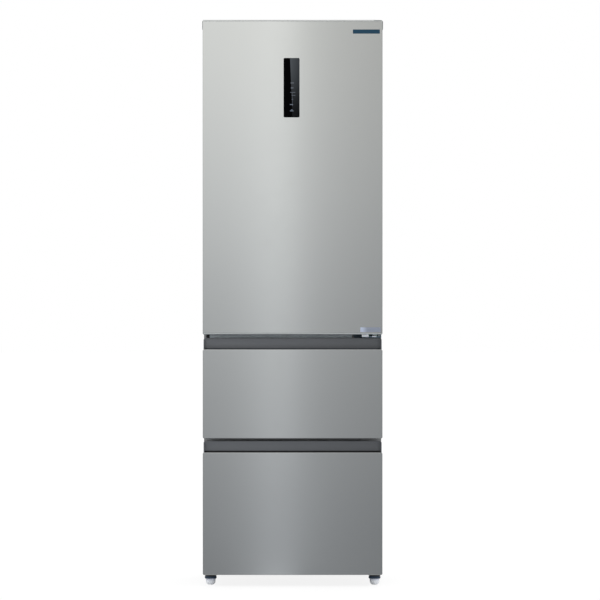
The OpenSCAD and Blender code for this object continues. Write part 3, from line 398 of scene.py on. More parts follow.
def rounded_front_corners(half, levels, radius):
    """Cuts away what lies outside a circle at each front corner, by planes that touch it."""

    def clip(shape):
        """Cuts each corner by five planes and closes each cut."""
        for side in (-1, 1):
            for level, up in levels:
                middle = Vector((side * (half - radius), 0, level - up * radius))
                for angle in np.radians([9, 27, 45, 63, 81]):
                    normal = Vector((side * math.cos(angle), 0, up * math.sin(angle)))
                    cut = bmesh.ops.bisect_plane(
                        shape, geom=shape.verts[:] + shape.edges[:] + shape.faces[:], dist=1e-7,
                        plane_co=middle + normal * radius, plane_no=normal, clear_outer=True,
                    )
                    rim = [e for e in cut["geom_cut"] if isinstance(e, bmesh.types.BMEdge)]
                    bmesh.ops.holes_fill(shape, edges=rim)

    return clip


# Finishes are kept by material slot, and a name after a stroke is a variant in the same slot


def effect(name, inputs, outputs, build):
    """A shader node group with named sockets, built once."""
    group = bpy.data.node_groups.new(name, "ShaderNodeTree")
    for label, kind, value in inputs:
        socket = group.interface.new_socket(label, in_out="INPUT", socket_type="NodeSocket" + kind)
        socket.default_value = value
    for label in outputs:
        group.interface.new_socket(label, in_out="OUTPUT", socket_type="NodeSocketFloat")
    source, sink = group.nodes.new("NodeGroupInput"), group.nodes.new("NodeGroupOutput")
    build(Bench(group), source.outputs, sink.inputs)
    EFFECTS[name] = group


class Bench:
    """Short ways to add and join nodes in a tree."""

    def __init__(self, tree):
        self.tree = tree

    def node(self, kind, **settings):
        """A new node with its settings."""
        made = self.tree.nodes.new("ShaderNode" + kind)
        for key, value in settings.items():
            setattr(made, key, value)
        return made

    def feed(self, socket, value):
        """A socket takes a link from another socket, or a plain value."""
        if isinstance(value, bpy.types.NodeSocket):
            self.tree.links.new(value, socket)
        else:
            socket.default_value = value

    def place(self, stretch=(1, 1, 1)):
        """Object coordinates, stretched."""
        mapping = self.node("Mapping")
        self.feed(mapping.inputs["Vector"], self.node("TexCoord").outputs["Object"])
        self.feed(mapping.inputs["Scale"], stretch)
        return mapping.outputs["Vector"]

    def noise(self, vector, scale, detail=3.0, roughness=0.5):
        """Soft noise as a value."""
        made = self.node("TexNoise")
        self.feed(made.inputs["Vector"], vector)
        self.feed(made.inputs["Scale"], scale)
        made.inputs["Detail"].default_value = detail
        made.inputs["Roughness"].default_value = roughness
        return made.outputs["Fac"]

    def cells(self, vector, scale, feature="F1", output="Distance"):
        """Round each random point: the distance to it, or a colour of its own."""
        made = self.node("TexVoronoi", feature=feature)
        self.feed(made.inputs["Vector"], vector)
        self.feed(made.inputs["Scale"], scale)
        return made.outputs[output]

    def joined(self, operation, values, clamp=False):
        """Two or more values joined by one operation, in order."""
        result = values[0]
        for value in values[1:]:
            made = self.node("Math", operation=operation, use_clamp=clamp)
            self.feed(made.inputs[0], result)
            self.feed(made.inputs[1], value)
            result = made.outputs[0]
        return result

    def plus(self, *values):
        """The values added up."""
        return self.joined("ADD", values)

    def minus(self, first, second):
        """The first value less the second."""
        return self.joined("SUBTRACT", (first, second))

    def times(self, *values):
        """The values multiplied."""
        return self.joined("MULTIPLY", values)

    def fit(self, value, low, high, to_low=0.0, to_high=1.0, way="SMOOTHSTEP"):
        """A value taken from one range to another, smooth at both ends."""
        made = self.node("MapRange", interpolation_type=way)
        for socket, number in zip(made.inputs[:5], (value, low, high, to_low, to_high)):
            self.feed(socket, number)
        return made.outputs[0]

    def line(self, value, low, high, to_low=0.0, to_high=1.0):
        """A value taken from one range to another in a straight line."""
        return self.fit(value, low, high, to_low, to_high, "LINEAR")

    def around(self, value, middle, spread):
        """A mask from 0 to 1 turned into a value round a middle one."""
        return self.line(value, 0, 1, middle - spread, middle + spread)

    def mix(self, mask, first, second):
        """The first colour where the mask is 0, the second where it is 1."""
        made = self.node("Mix", data_type="RGBA")
        self.feed(made.inputs["Factor"], mask)
        self.feed(made.inputs[6], four(first))
        self.feed(made.inputs[7], four(second))
        return made.outputs[2]

    def parts(self, vector):
        """X, Y and Z of a vector."""
        made = self.node("SeparateXYZ")
        self.feed(made.inputs[0], vector)
        return made.outputs

    def add(self, name, **values):
        """Places a shared effect with its own values and returns its outputs."""
        made = self.node("Group")
        made.node_tree = EFFECTS[name]
        for key, value in values.items():
            self.feed(made.inputs[key.capitalize()], value)
        return made.outputs


def four(colour):
    """A colour with its alpha, or a socket as it is."""
    return colour if isinstance(colour, bpy.types.NodeSocket) else (*colour[:3], 1.0)


def shade(colour, factor):
    """A colour made lighter or darker."""
    return tuple(min(1.0, c * factor) for c in colour)


def brushed(bench, given, out):
    """Drawn grain: noise stretched along the grain, fine over broad."""
    place = bench.place(given["Stretch"])
    fine = bench.noise(place, given["Scale"], 4, 0.6)
    broad = bench.noise(place, bench.times(given["Scale"], 0.12), 2)
    bench.feed(out["Height"], fine)
    bench.feed(out["Streaks"], bench.plus(bench.times(fine, 0.6), bench.times(broad, 0.4)))


def grained(bench, given, out):
    """Spark-eroded mould grain: soft pits with fine noise, and a slow mottle."""
    place = bench.place()
    pits = bench.cells(place, given["Scale"], "SMOOTH_F1")
    fine = bench.noise(place, bench.times(given["Scale"], 2.3), 2)
    bench.feed(out["Height"], bench.plus(pits, bench.times(fine, 0.5)))
    bench.feed(out["Mottle"], bench.noise(place, 14.0, 3))


def peeled(bench, given, out):
    """Orange peel: soft waves with fine specks."""
    place = bench.place()
    waves = bench.noise(place, given["Scale"], 1)
    specks = bench.noise(place, bench.times(given["Scale"], 6.0), 2)
    bench.feed(out["Height"], bench.plus(waves, bench.times(specks, 0.25)))


def handled(bench, given, out):
    """Finger marks: wide patches and narrow ones."""
    place = bench.place()
    wide = bench.fit(bench.noise(place, 5.0, 4, 0.6), 0.45, 0.75)
    narrow = bench.fit(bench.noise(place, 38.0, 3), 0.5, 0.72)
    bench.feed(out["Smudge"], bench.times(bench.plus(wide, bench.times(narrow, 0.5)), given["Amount"]))


def dusted(bench, given, out):
    """Dust where the surface faces up, in patches."""
    up = bench.parts(bench.node("NewGeometry").outputs["Normal"])["Z"]
    patchy = bench.line(bench.noise(bench.place(), 26.0, 5, 0.65), 0.3, 0.75, 0.35, 1.0)
    bench.feed(out["Dust"], bench.times(bench.fit(up, 0.35, 0.95), patchy, given["Amount"]))


def worn(bench, given, out):
    """Worn edges: where a rounded normal turns away from the real one, broken by noise."""
    bevel = bench.node("Bevel", samples=4)
    bench.feed(bevel.inputs["Radius"], given["Width"])
    dot = bench.node("VectorMath", operation="DOT_PRODUCT")
    bench.feed(dot.inputs[0], bevel.outputs[0])
    bench.feed(dot.inputs[1], bench.node("NewGeometry").outputs["Normal"])
    edge = bench.fit(bench.minus(1.0, dot.outputs["Value"]), 0.02, 0.14)
    broken = bench.line(bench.noise(bench.place(), 160.0, 3), 0.35, 0.65)
    share = bench.joined("MULTIPLY", (bench.times(edge, broken), given["Amount"]), clamp=True)
    bench.feed(out["Wear"], share)


def build_effects():
    """Every effect that more than one finish uses."""
    scale = ("Scale", "Float", 300.0)
    amount = ("Amount", "Float", 1.0)
    stretch = ("Stretch", "Vector", (1, 1, 0.01))
    effect("Brushed grain", [scale, stretch], ["Height", "Streaks"], brushed)
    effect("Moulded grain", [scale], ["Height", "Mottle"], grained)
    effect("Paint skin", [scale], ["Height"], peeled)
    effect("Handling marks", [amount], ["Smudge"], handled)
    effect("Settled dust", [amount], ["Dust"], dusted)
    effect("Worn edges", [amount, ("Width", "Float", 0.001)], ["Wear"], worn)


class Finish(Bench):
    """One material: a Principled shader with plain numbers, and what varies over the surface."""

    def __init__(self, slot, **plain):
        made = bpy.data.materials.new(slot.replace("/", "_") + "_finish")
        made.use_nodes = True
        super().__init__(made.node_tree)
        self.shader = made.node_tree.nodes["Principled BSDF"]
        for label, value in plain.items():
            self.shader.inputs[label.replace("_", " ").title().replace("Ior", "IOR")].default_value = value
        FINISHES[slot] = made

    def colour(self, value):
        """A colour, or a socket that gives one."""
        self.feed(self.shader.inputs["Base Color"], four(value))

    def fade(self, axis, start, end, colour, most=1.0):
        """The colour so far runs over to another one from start to end along an object axis."""
        share = self.fit(self.parts(self.place())[axis], start, end, 0.0, most)
        given = self.shader.inputs["Base Color"].links[0].from_socket
        self.colour(self.mix(share, given, colour))

    def rough(self, value):
        """A value that gives the roughness."""
        self.feed(self.shader.inputs["Roughness"], value)

    def bump(self, height, distance, strength):
        """Relief from a height, its depth in metres."""
        made = self.node("Bump")
        made.inputs["Strength"].default_value = strength
        made.inputs["Distance"].default_value = distance
        self.feed(made.inputs["Height"], height)
        self.feed(self.shader.inputs["Normal"], made.outputs[0])


PLASTIC_DUST = reading(190, 186, 178)
SHEET_DUST = reading(188, 184, 176)
BARE_METAL = (0.5, 0.5, 0.5)


def steel_finish(slot, colour, roughness, stretch, scale, tone, depth=0.00002, coat=0.0):
    """Drawn metal: streaks along the grain vary its tone and gloss, and finger marks dull it a little."""
    made = Finish(slot, metallic=1.0, coat_weight=coat, coat_roughness=0.06, coat_ior=1.5)
    grain = made.add("Brushed grain", scale=scale, stretch=stretch)
    marks = made.add("Handling marks", amount=0.02)["Smudge"]
    made.colour(made.mix(grain["Streaks"], shade(colour, 1 - tone), shade(colour, 1 + tone)))
    made.rough(made.plus(made.around(grain["Streaks"], roughness, 0.02), marks))
    made.bump(grain["Height"], depth, 0.5)


def moulded_finish(slot, colour, roughness=0.5, scale=1800.0, depth=0.00006, tone=0.05, dust=0.08, **plain):
    """Moulded plastic: fine spark-eroded grain, uneven tone, dust where it faces up, pale worn edges."""
    made = Finish(slot, **plain)
    grain = made.add("Moulded grain", scale=scale)
    marks = made.add("Handling marks", amount=0.06)["Smudge"]
    wear = made.add("Worn edges", amount=0.25, width=0.0008)["Wear"]
    settled = made.add("Settled dust", amount=dust)["Dust"]
    body = made.mix(grain["Mottle"], shade(colour, 1 - tone), shade(colour, 1 + tone))
    made.colour(made.mix(settled, made.mix(wear, body, shade(colour, 1.25)), PLASTIC_DUST))
    made.rough(made.plus(made.around(grain["Mottle"], roughness, 0.04), marks, settled))
    made.bump(grain["Height"], depth, 0.6)
    return made


def painted_finish(
    slot, colour, roughness=0.4, scale=420.0, depth=0.00008, wear=0.3, dust=0.1, under=BARE_METAL, **plain
):
    """Sprayed or powder coated sheet: orange peel, dust on top, bare metal at worn edges."""
    made = Finish(slot, **plain)
    peel = made.add("Paint skin", scale=scale)["Height"]
    marks = made.add("Handling marks", amount=0.08)["Smudge"]
    bare = made.add("Worn edges", amount=wear, width=0.0009)["Wear"]
    settled = made.add("Settled dust", amount=dust)["Dust"]
    broad = made.noise(made.place(), 3.0, 4, 0.6)
    body = made.mix(broad, shade(colour, 0.97), shade(colour, 1.03))
    made.colour(made.mix(settled, made.mix(bare, body, under), SHEET_DUST))
    made.feed(made.shader.inputs["Metallic"], made.times(bare, 0.8))
    made.rough(made.plus(made.around(broad, roughness, 0.03), marks, settled))
    made.bump(peel, depth, 0.5)
    return made


def zinc_finish():
    """Zinc coated sheet: crystals of different tone and gloss, with a faint drawn grain."""
    made = Finish("zinc", metallic=0.95)
    tone = made.parts(made.cells(made.place(), 120.0, output="Color"))["X"]
    grain = made.add("Brushed grain", scale=500.0, stretch=(1, 1, 0.05))
    body = made.mix(tone, reading(180, 183, 186), reading(193, 195, 197))
    made.colour(made.mix(made.add("Settled dust", amount=0.15)["Dust"], body, SHEET_DUST))
    made.rough(made.around(tone, 0.39, 0.05))
    made.bump(made.plus(tone, grain["Height"]), 0.00003, 0.4)


def rubber_finish(slot, colour, roughness):
    """Soft rubber: matt, with a pale bloom in patches and the marks of the mould."""
    made = Finish(slot, specular_ior_level=0.35)
    grain = made.add("Moulded grain", scale=1400.0)
    bloom = made.fit(grain["Mottle"], 0.45, 0.75, 0.0, 0.3)
    made.colour(made.mix(bloom, colour, shade(colour, 1.3)))
    made.rough(made.line(bloom, 0, 1, roughness, roughness + 0.2))
    made.bump(grain["Height"], 0.00005, 0.5)


def foam_finish():
    """Rigid foam: closed cells with darker pits, yellowed in patches."""
    made = Finish("foam")
    place = made.place()
    pits = made.cells(place, 620.0)
    body = made.mix(made.noise(place, 9.0, 4), reading(236, 222, 176), reading(222, 203, 148))
    made.colour(made.mix(made.fit(pits, 0.25, 0.7), body, reading(190, 168, 116)))
    made.rough(made.around(pits, 0.9, 0.05))
    made.bump(pits, 0.0004, 0.5)


def clear_finish(slot, colour, roughness, transmission, ior, **plain):
    """Clear plastic or glass: faint haze between two roughnesses, and flow waves in its surface."""
    made = Finish(slot, transmission_weight=transmission, ior=ior, **plain)
    place = made.place()
    haze = made.noise(place, 22.0, 4, 0.6)
    made.colour(made.mix(haze, colour, shade(colour, 0.985)))
    made.rough(made.line(haze, 0, 1, *roughness))
    made.bump(made.noise(place, 60.0, 2), 0.00005, 0.25)


def display_finish():
    """Dark glass: black on the left of a slanted line, and a grey painted reflection that fades downward.
    """
    low, high = corners("display_glass")
    split_foot, split_top, softness = -0.0008, -0.0084, 0.0004
    painted_reflection_left, painted_reflection_right = -0.010, 0.0224
    made = Finish("display_black", specular_ior_level=0.02)
    where = made.parts(made.place())
    level = made.line(where["Z"], low[2], high[2])
    split = made.line(level, 0, 1, split_foot, split_top)
    side = made.fit(made.minus(where["X"], split), -softness, softness)
    downward = made.fit(level, 0.0, 1.0, 0.12, 1.0)
    across = made.line(where["X"], painted_reflection_left, painted_reflection_right, 1.0, 0.5)
    # Black where the glass shows nothing; the grey is a painted reflection, fainter downward and towards
    # the right.
    made.colour(made.mix(made.times(side, downward, across), reading(0, 0, 1), reading(75, 79, 83)))
    smear = made.add("Handling marks", amount=0.05)["Smudge"]
    made.rough(made.line(smear, 0, 1, 0.08, 0.25))


def mark_finish():
    """Marks on the display: bluer at the foot, uneven from mark to mark."""
    low, _ = corners("display_glass")
    marks = Finish("display_black/marks", roughness=0.4)
    height = marks.line(marks.parts(marks.place())["Z"], low[2] + 0.02, low[2] + 0.115)
    even = marks.mix(height, reading(98, 112, 132), reading(90, 93, 102))
    marks.colour(marks.mix(marks.noise(marks.place(), 400.0), even, reading(112, 118, 128)))


def metal_finishes(pick):
    """Bare and painted metal. The numbers are roughness, grain scale and grain depth."""
    steel_finish("steel_front", pick.steel, 0.20, (1, 1, 0.012), 1400.0, 0.008, 0.000002, 0.4)
    zinc_finish()
    steel_finish("copper", reading(214, 146, 108), 0.28, (1, 1, 1), 260.0, 0.10, 0.00004)
    steel_finish("fin_metal", reading(208, 210, 212), 0.35, (1, 1, 0.05), 700.0, 0.04)
    painted_finish("cabinet_paint", pick.paint, 0.42, wear=0.12)
    painted_finish("base_dark", reading(44, 46, 49), 0.5, 900.0, 0.0001, under=reading(120, 120, 122))
    painted_finish("hinge_grey", reading(118, 121, 122), 0.35, 700.0, wear=0.5)
    painted_finish("hinge_grey/light", reading(196, 204, 214), 0.3, 900.0, wear=0.1)
    painted_finish("hinge_dark", reading(80, 97, 110), 0.38, 700.0)
    gloss = {"coat_weight": 0.4, "coat_roughness": 0.12}
    painted_finish("black_paint", reading(20, 20, 22), 0.22, 260.0, 0.00012, dust=0.25, **gloss)


def front_finishes(pick):
    """What shows in front: grips, caps, the gap strip, the two plates and the display."""
    clean = {"depth": 0.00002, "wear": 0.0, "dust": 0.02}
    painted_finish("plate_blue", pick.badge, 0.3, 1200.0, specular_ior_level=0.3, **clean)
    label = painted_finish("strip_grey/label", pick.label, 0.45, 1500.0, **clean)
    label.fade("X", 0.252, 0.230, reading(167, 176, 196))
    grip = moulded_finish("grip_grey", pick.grip, 0.34, specular_ior_level=0.9)
    # Painted shade: the grips darken towards the right where the light falls off, and the upper grip is a
    # little darker than the lower.
    grip.fade("X", -0.20, 0.25, shade(pick.grip, 0.53), 0.6)
    grip.fade("Z", 0.55, 0.70, shade(pick.grip, 0.5), 0.2)
    # Dark grey for the upper grip's channel strip: painted shadow just above the steel.
    moulded_finish("grip_grey/line", reading(70, 73, 78))
    cap = moulded_finish("cap_grey", pick.cap, 0.45)
    foot_of_door = corners("door_end_caps")[0][2]
    # Painted shade: the lower end cap is darker than the top one, and a painted shadow line darkens the
    # last millimetres of its rounded bottom edge.
    cap.fade("Z", 1.0, 0.9, reading(174, 178, 178))
    cap.fade("Z", foot_of_door + 0.0026, foot_of_door + 0.0014, reading(84, 90, 96), 0.8)
    strip = moulded_finish("strip_grey", pick.strip, 0.30, specular_ior_level=0.8)
    strip_top = corners("gap_strip")[1][2]
    # Painted shadow: the top of the gap strip darkens under the door.
    strip.fade("Z", strip_top - 0.0045, strip_top - 0.0015, shade(pick.strip, 0.5))
    display_finish()
    mark_finish()


def plastic_finishes(pick):
    """Mouldings, rubber, foam and everything clear."""
    moulded_finish("base_dark/collar", reading(36, 54, 74), 0.4)
    moulded_finish("cover_grey", pick.cover)
    moulded_finish("cover_grey/light", reading(158, 163, 163), 0.45)
    moulded_finish("black_plastic", reading(24, 24, 26), 0.45, dust=0.12)
    white = {"scale": 900.0, "depth": 0.00003, "tone": 0.012}
    coat = {"coat_weight": 0.15, "coat_roughness": 0.15}
    moulded_finish("liner_white", pick.liner, 0.33, dust=0.02, **white, **coat)
    moulded_finish("white_core", shade(pick.liner, 0.98), 0.4, dust=0.03, **white)
    moulded_finish("duct_grey", reading(226, 230, 234), 0.38, 1100.0, 0.00003, 0.015, 0.02)
    moulded_finish("trim_white", reading(222, 226, 230), 0.34, 1300.0, 0.00003, 0.015, 0.02)
    small = {"depth": 0.00003, "tone": 0.02, "dust": 0.03}
    soft = {"subsurface_weight": 0.15, "subsurface_scale": 0.002}
    moulded_finish("nylon", reading(214, 218, 221), 0.42, 1500.0, **small, **soft)
    foot = moulded_finish("foot_plastic", pick.foot, 0.26, 1300.0, specular_ior_level=0.9, **small)
    # Painted shade: the upper part of each foot, in the shade under the cabinet, is darker and bluer.
    foot.fade("Z", 0.009, 0.023, reading(190, 196, 214))
    rubber_finish("seal_grey", pick.seal, 0.6)
    rubber_finish("rubber_black", reading(30, 30, 31), 0.7)
    foam_finish()
    clear_finish("clear_plastic", pick.clear, (0.10, 0.16), 0.85, 1.49)
    clear_finish("shelf_glass", (0.90, 0.975, 0.95), (0.015, 0.03), 1.0, 1.52)
    glow = {"emission_color": (1.0, 0.985, 0.96, 1.0), "emission_strength": 9.0}
    clear_finish("lens", (0.95, 0.96, 0.97), (0.42, 0.55), 0.55, 1.49, **glow)


def finish_nodes():
    """Puts the finish of its slot on every CAD node."""
    for node in NODES.values():
        for socket in node.material_slots:
            name = socket.material.name.split(".")[0]
            if name not in FINISHES:
                raise RuntimeError("no finish for the slot " + name)
            socket.material = FINISHES[name]


# Pieces


class FRIDGE_OT_finishes(Operator):
    """Makes the finishes and puts them on every CAD node"""

    bl_idname = "fridge.finishes"
    bl_label = "Finishes"

    def execute(self, context):
        pick = context.scene.fridge_colours
        build_effects()
        metal_finishes(pick)
        front_finishes(pick)
        plastic_finishes(pick)
        finish_nodes()
        return {"FINISHED"}


class FRIDGE_OT_steel_fronts(Operator):
    """Folds the steel of the door and the two drawers"""

    bl_idname = "fridge.steel_fronts"
    bl_label = "Steel fronts"

    def execute(self, context):
        pick = context.scene.fridge_fronts
        steel_front("door_skin", pick.door_corner, None, pick)
        steel_front("upper_drawer_skin", pick.drawer_corner, pick.top_lip, pick)
        steel_front("lower_drawer_skin", pick.drawer_corner, pick.top_lip, pick)
        return {"FINISHED"}


def steel_front(node, corner, top_lip, pick):
    """A folded sheet: inner face, inner bend, back edge, outer bend, front face.

    The sides and the foot reach the back of the front. The top reaches only as far as its lip.
    """
    low, high = corners(node)
    front, sheet, edge = low[1], pick.sheet, pick.edge
    ray, _ = rays(8)
    level = np.zeros(len(ray))
    reach = level + high[1]
    if top_lip:
        upward = ray[:, 1] > 0.72
        reach = np.where(upward, front + top_lip, reach)
    inner = arc((-edge, front + edge), edge - sheet, -1, 0, 5)
    outer = arc((-edge, front + edge), edge, 0, -1, 8)
    rows = [(offset, level + y) for offset, y in inner]
    rows += [(-sheet, reach), (0.0, reach)]
    rows += [(offset, level + y) for offset, y in outer]
    remade(node + "_folded", [carried_front(low, high, corner, stacked(rows, 0))], "steel_front", node)


class FRIDGE_OT_door_ends(Operator):
    """Rounds the end caps of the door"""

    bl_idname = "fridge.door_ends"
    bl_label = "Door end caps"

    def execute(self, context):
        pick = context.scene.fridge_fronts
        low, high = corners("door_end_caps")
        clip = rounded_front_corners(high[0], ((low[2], -1), (high[2], 1)), pick.cap_corner)
        softened("door_end_caps", "cap_grey", 0.0006, 2, clip)
        return {"FINISHED"}


class FRIDGE_OT_grips(Operator):
    """Rounds the grip mouldings and adds their end pieces"""

    bl_idname = "fridge.grips"
    bl_label = "Drawer grips"

    def execute(self, context):
        pick = context.scene.fridge_fronts
        self.grip("upper", "grip_grey/line", pick)
        self.grip("lower", "black_plastic", pick)
        return {"FINISHED"}

    def grip(self, drawer, line_slot, pick):
        """The moulding, a wall at each end of its channel, and a dark strip along the top of the steel as
        painted shadow in the channel.
        """
        node = drawer + "_drawer_grip"
        low, high = corners(node)
        clip = rounded_front_corners(high[0], ((high[2], 1),), pick.grip_corner)
        softened(node, "grip_grey", pick.grip_edge, 3, clip)
        wall = low[1] + 0.0272
        foot, top = low[2] + 0.004, high[2] - 0.0050
        left_end, right_end = (low[0], low[0] + 0.0045), (high[0] - 0.0148, high[0])
        ends = [
            soft_block((first, wall - 0.0007, foot), (last, wall + 0.002, top), 0.0006)
            for first, last in (left_end, right_end)
        ]
        piece(drawer + "_grip_ends", ends, "grip_grey", body_of(node))
        # A dark strip on the channel's wall just above the steel: painted shadow where the channel is only
        # in shade.
        steel_top = corners(drawer + "_drawer_skin")[1][2]
        shadow_low = (low[0] + 0.001, wall - 0.0011, steel_top - 0.004)
        shadow_high = (high[0] - 0.001, wall + 0.001, steel_top + 0.005)
        piece(drawer + "_grip_shadow_line", [soft_block(shadow_low, shadow_high, 0.0005)], line_slot, body_of(node))


# Marks of the display in millimetres: place beside its middle, drop below its top, width and height
DISPLAY_MARKS = (
    (1.6, 83, 11, 2.4),
    (1.6, 99.5, 9, 2.6),
    (3.6, 114.5, 17, 1.3),
    (6.2, 124.5, 13, 1.2),
    (2.4, 138, 5, 1.4),
    (2.4, 138, 0.7, 44),
    (-0.8, 155, 11, 2.4),
    (0.2, 172.5, 5, 2.4),
    (0.2, 176, 12, 2.2),
)


class FRIDGE_OT_display(Operator):
    """Makes the display glass with its plain marks"""

    bl_idname = "fridge.display"
    bl_label = "Display"

    def execute(self, context):
        corner = context.scene.fridge_fronts.display_corner
        low, high = corners("display_glass")
        face = low[1] + 0.00008
        self.glass(low, high, face, corner)
        self.marks(low, high, face)
        return {"FINISHED"}

    def glass(self, low, high, face, corner):
        """A tub set in the door, under a front with a round edge that laps over the steel."""
        seat, shoulder, step, edge = low[1] + 0.00055, low[1] + 0.003, 0.003, 0.0003
        body = path((-step, high[1]), (-step, shoulder), (0, shoulder), (0, seat))
        rim = path((0, seat), arc((-edge, face + edge), edge, 0, -1, 4))
        lip_low, lip_high = low - (0.0016, 0, 0.0024), high + (0.0008, 0, 0.0004)
        parts = [carried_front(low, high, corner, body), carried_front(lip_low, lip_high, corner, rim)]
        remade("display_front", parts, "display_black", "display_glass")

    def marks(self, low, high, face):
        """Thin bars that stand out of the glass by less than a tenth of a millimetre."""
        middle, sunk, proud = (low[0] + high[0]) / 2, (0, 0.0002, 0), (0, 0.00006, 0)
        parts = []
        for side, drop, width, tall in DISPLAY_MARKS:
            centre = np.array([middle + side * MILLIMETRE, face, high[2] - drop * MILLIMETRE])
            reach = np.array([width, 0, tall]) * MILLIMETRE / 2
            parts.append(soft_block(centre - reach - proud, centre + reach + sunk, 0.00012, "y", 1))
        piece("display_marks", parts, "display_black/marks", "door")


class FRIDGE_OT_plates(Operator):
    """Makes the blank strip and the blank label of the door"""

    bl_idname = "fridge.plates"
    bl_label = "Blank plates"

    def execute(self, context):
        corner = context.scene.fridge_fronts.plate_corner
        low, high = corners("blank_plates")
        strip = np.array([0.201, low[1], 1.8441]), high - (0.003, 0, 0)
        label = np.array([0.226, low[1], low[2]]), np.array([high[0], high[1], 0.8647])
        edge, sunk = 0.00015, 0.0002
        profile = path((0, high[1] + sunk), arc((-edge, low[1] + edge), edge, 0, -1, 2))
        remade("badge_strip", [carried_front(*strip, corner, profile, 4)], "plate_blue", "blank_plates")
        piece("blank_label", [carried_front(*label, corner, profile, 4)], "strip_grey/label", "door")
        return {"FINISHED"}


class FRIDGE_OT_hinges(Operator):
    """Dresses both hinges, the roof cover, the gap strip and the bushes"""

    bl_idname = "fridge.hinges"
    bl_label = "Hinges and roof cover"

    def execute(self, context):
        softened("top_hinge", "hinge_grey", 0.0005)
        softened("lower_hinge", "hinge_dark", 0.0005)
        softened("hinge_blank", "black_plastic", 0.0012)
        softened("gap_strip", "strip_grey", 0.0006)
        softened("top_cover", "cover_grey", 0.0012, 3)
        softened("door_bushes", "nylon", 0.0008)
        self.washer_and_shims()
        self.hinge_cap()
        return {"FINISHED"}

    def washer_and_shims(self):
        """The three small light pieces that show on the lower hinge."""
        edge = 0.0008
        washer = soft_block((0.2850, -0.3128, 0.8352), (0.2920, -0.3060, 0.8395), edge)
        piece("hinge_washer", [washer], "hinge_grey", "cabinet")
        shims = [
            soft_block((left, -0.3165, 0.8322), (right, -0.3120, 0.8353), edge)
            for left, right in ((0.2315, 0.2545), (0.2650, 0.2800))
        ]
        piece("hinge_shims", shims, "hinge_grey/light", "cabinet")

    def hinge_cap(self):
        """A cap over the hinge arm, round about the pivot, and the door's lip cut to a circle round it."""
        low, high = corners("door_end_caps")
        pivot, radius, gap, top = np.array([0.274, -0.3014]), 0.0255, 0.0008, high[2]
        left, right, back = 0.2536, 0.2965, -0.2018
        first, last = math.acos((right - pivot[0]) / radius), -math.acos((left - pivot[0]) / radius)
        nose = round_points(pivot, radius, np.linspace(first, last, 36))
        cover = plate(path((right, back), nose, (left, back)), top - 0.0037, top - 0.0001)
        bevelled(piece("hinge_cap", [cover], "cover_grey/light", "cabinet", flat=False), 0.0006)
        bite = round_points(pivot, radius + gap, np.radians(np.linspace(-94.4, -213, 28)))
        lip_left, lip_right, bite_end = 0.2318, 0.2720, bite[-1][0]
        edge = path((lip_left, low[1]), (lip_right, low[1]), bite, (bite_end, high[1]), (lip_left, high[1]))
        piece("door_lip", [plate(edge, top - 0.0040, top)], "cap_grey", "door", flat=False)


class FRIDGE_OT_cabinet(Operator):
    """Dresses the sheet metal of the cabinet"""

    bl_idname = "fridge.cabinet"
    bl_label = "Cabinet"

    def execute(self, context):
        softened("outer_panels", "cabinet_paint", 0.0004)
        softened("base_frame", "base_dark", 0.0005)
        softened("front_rails", "cabinet_paint", 0)
        low, high = corners("back_panel")
        sheet = pressed_sheet(low, high, back_relief, 0.005)
        walled(remade("back_sheet", [sheet], "zinc", "back_panel", flat=False), high[1] - low[1], -1)
        softened("rear_cover", "zinc", 0)
        self.cover_screws()
        return {"FINISHED"}

    def cover_screws(self):
        """Three screws up each side of the rear cover, and one in the middle of its foot and top."""
        seat = corners("rear_cover")[1][1]
        places = [(side * 0.286, z) for side in (-1, 1) for z in (0.052, 0.160, 0.268)]
        places += [(0.0, 0.050), (0.0, 0.272)]
        piece("cover_screws", [hex_screw(at, seat) for at in places], "zinc", "cabinet")


def back_relief(x, z):
    """Depth of the pressed beads: most * exp(-(d / width) ** 2), with d the distance to the nearest bead.

    The beads are two uprights with six bars across from one to the other.
    """
    side, foot, top, width, most = 0.245, 0.330, 1.815, 0.006, 0.0009
    across = np.abs(x) - side
    beyond = np.maximum(np.maximum(foot - z, z - top), 0)
    distance = np.hypot(across, beyond)
    for level in np.linspace(foot, top, 6):
        distance = np.minimum(distance, np.hypot(z - level, np.maximum(across, 0)))
    return most * np.exp(-((distance / width) ** 2))


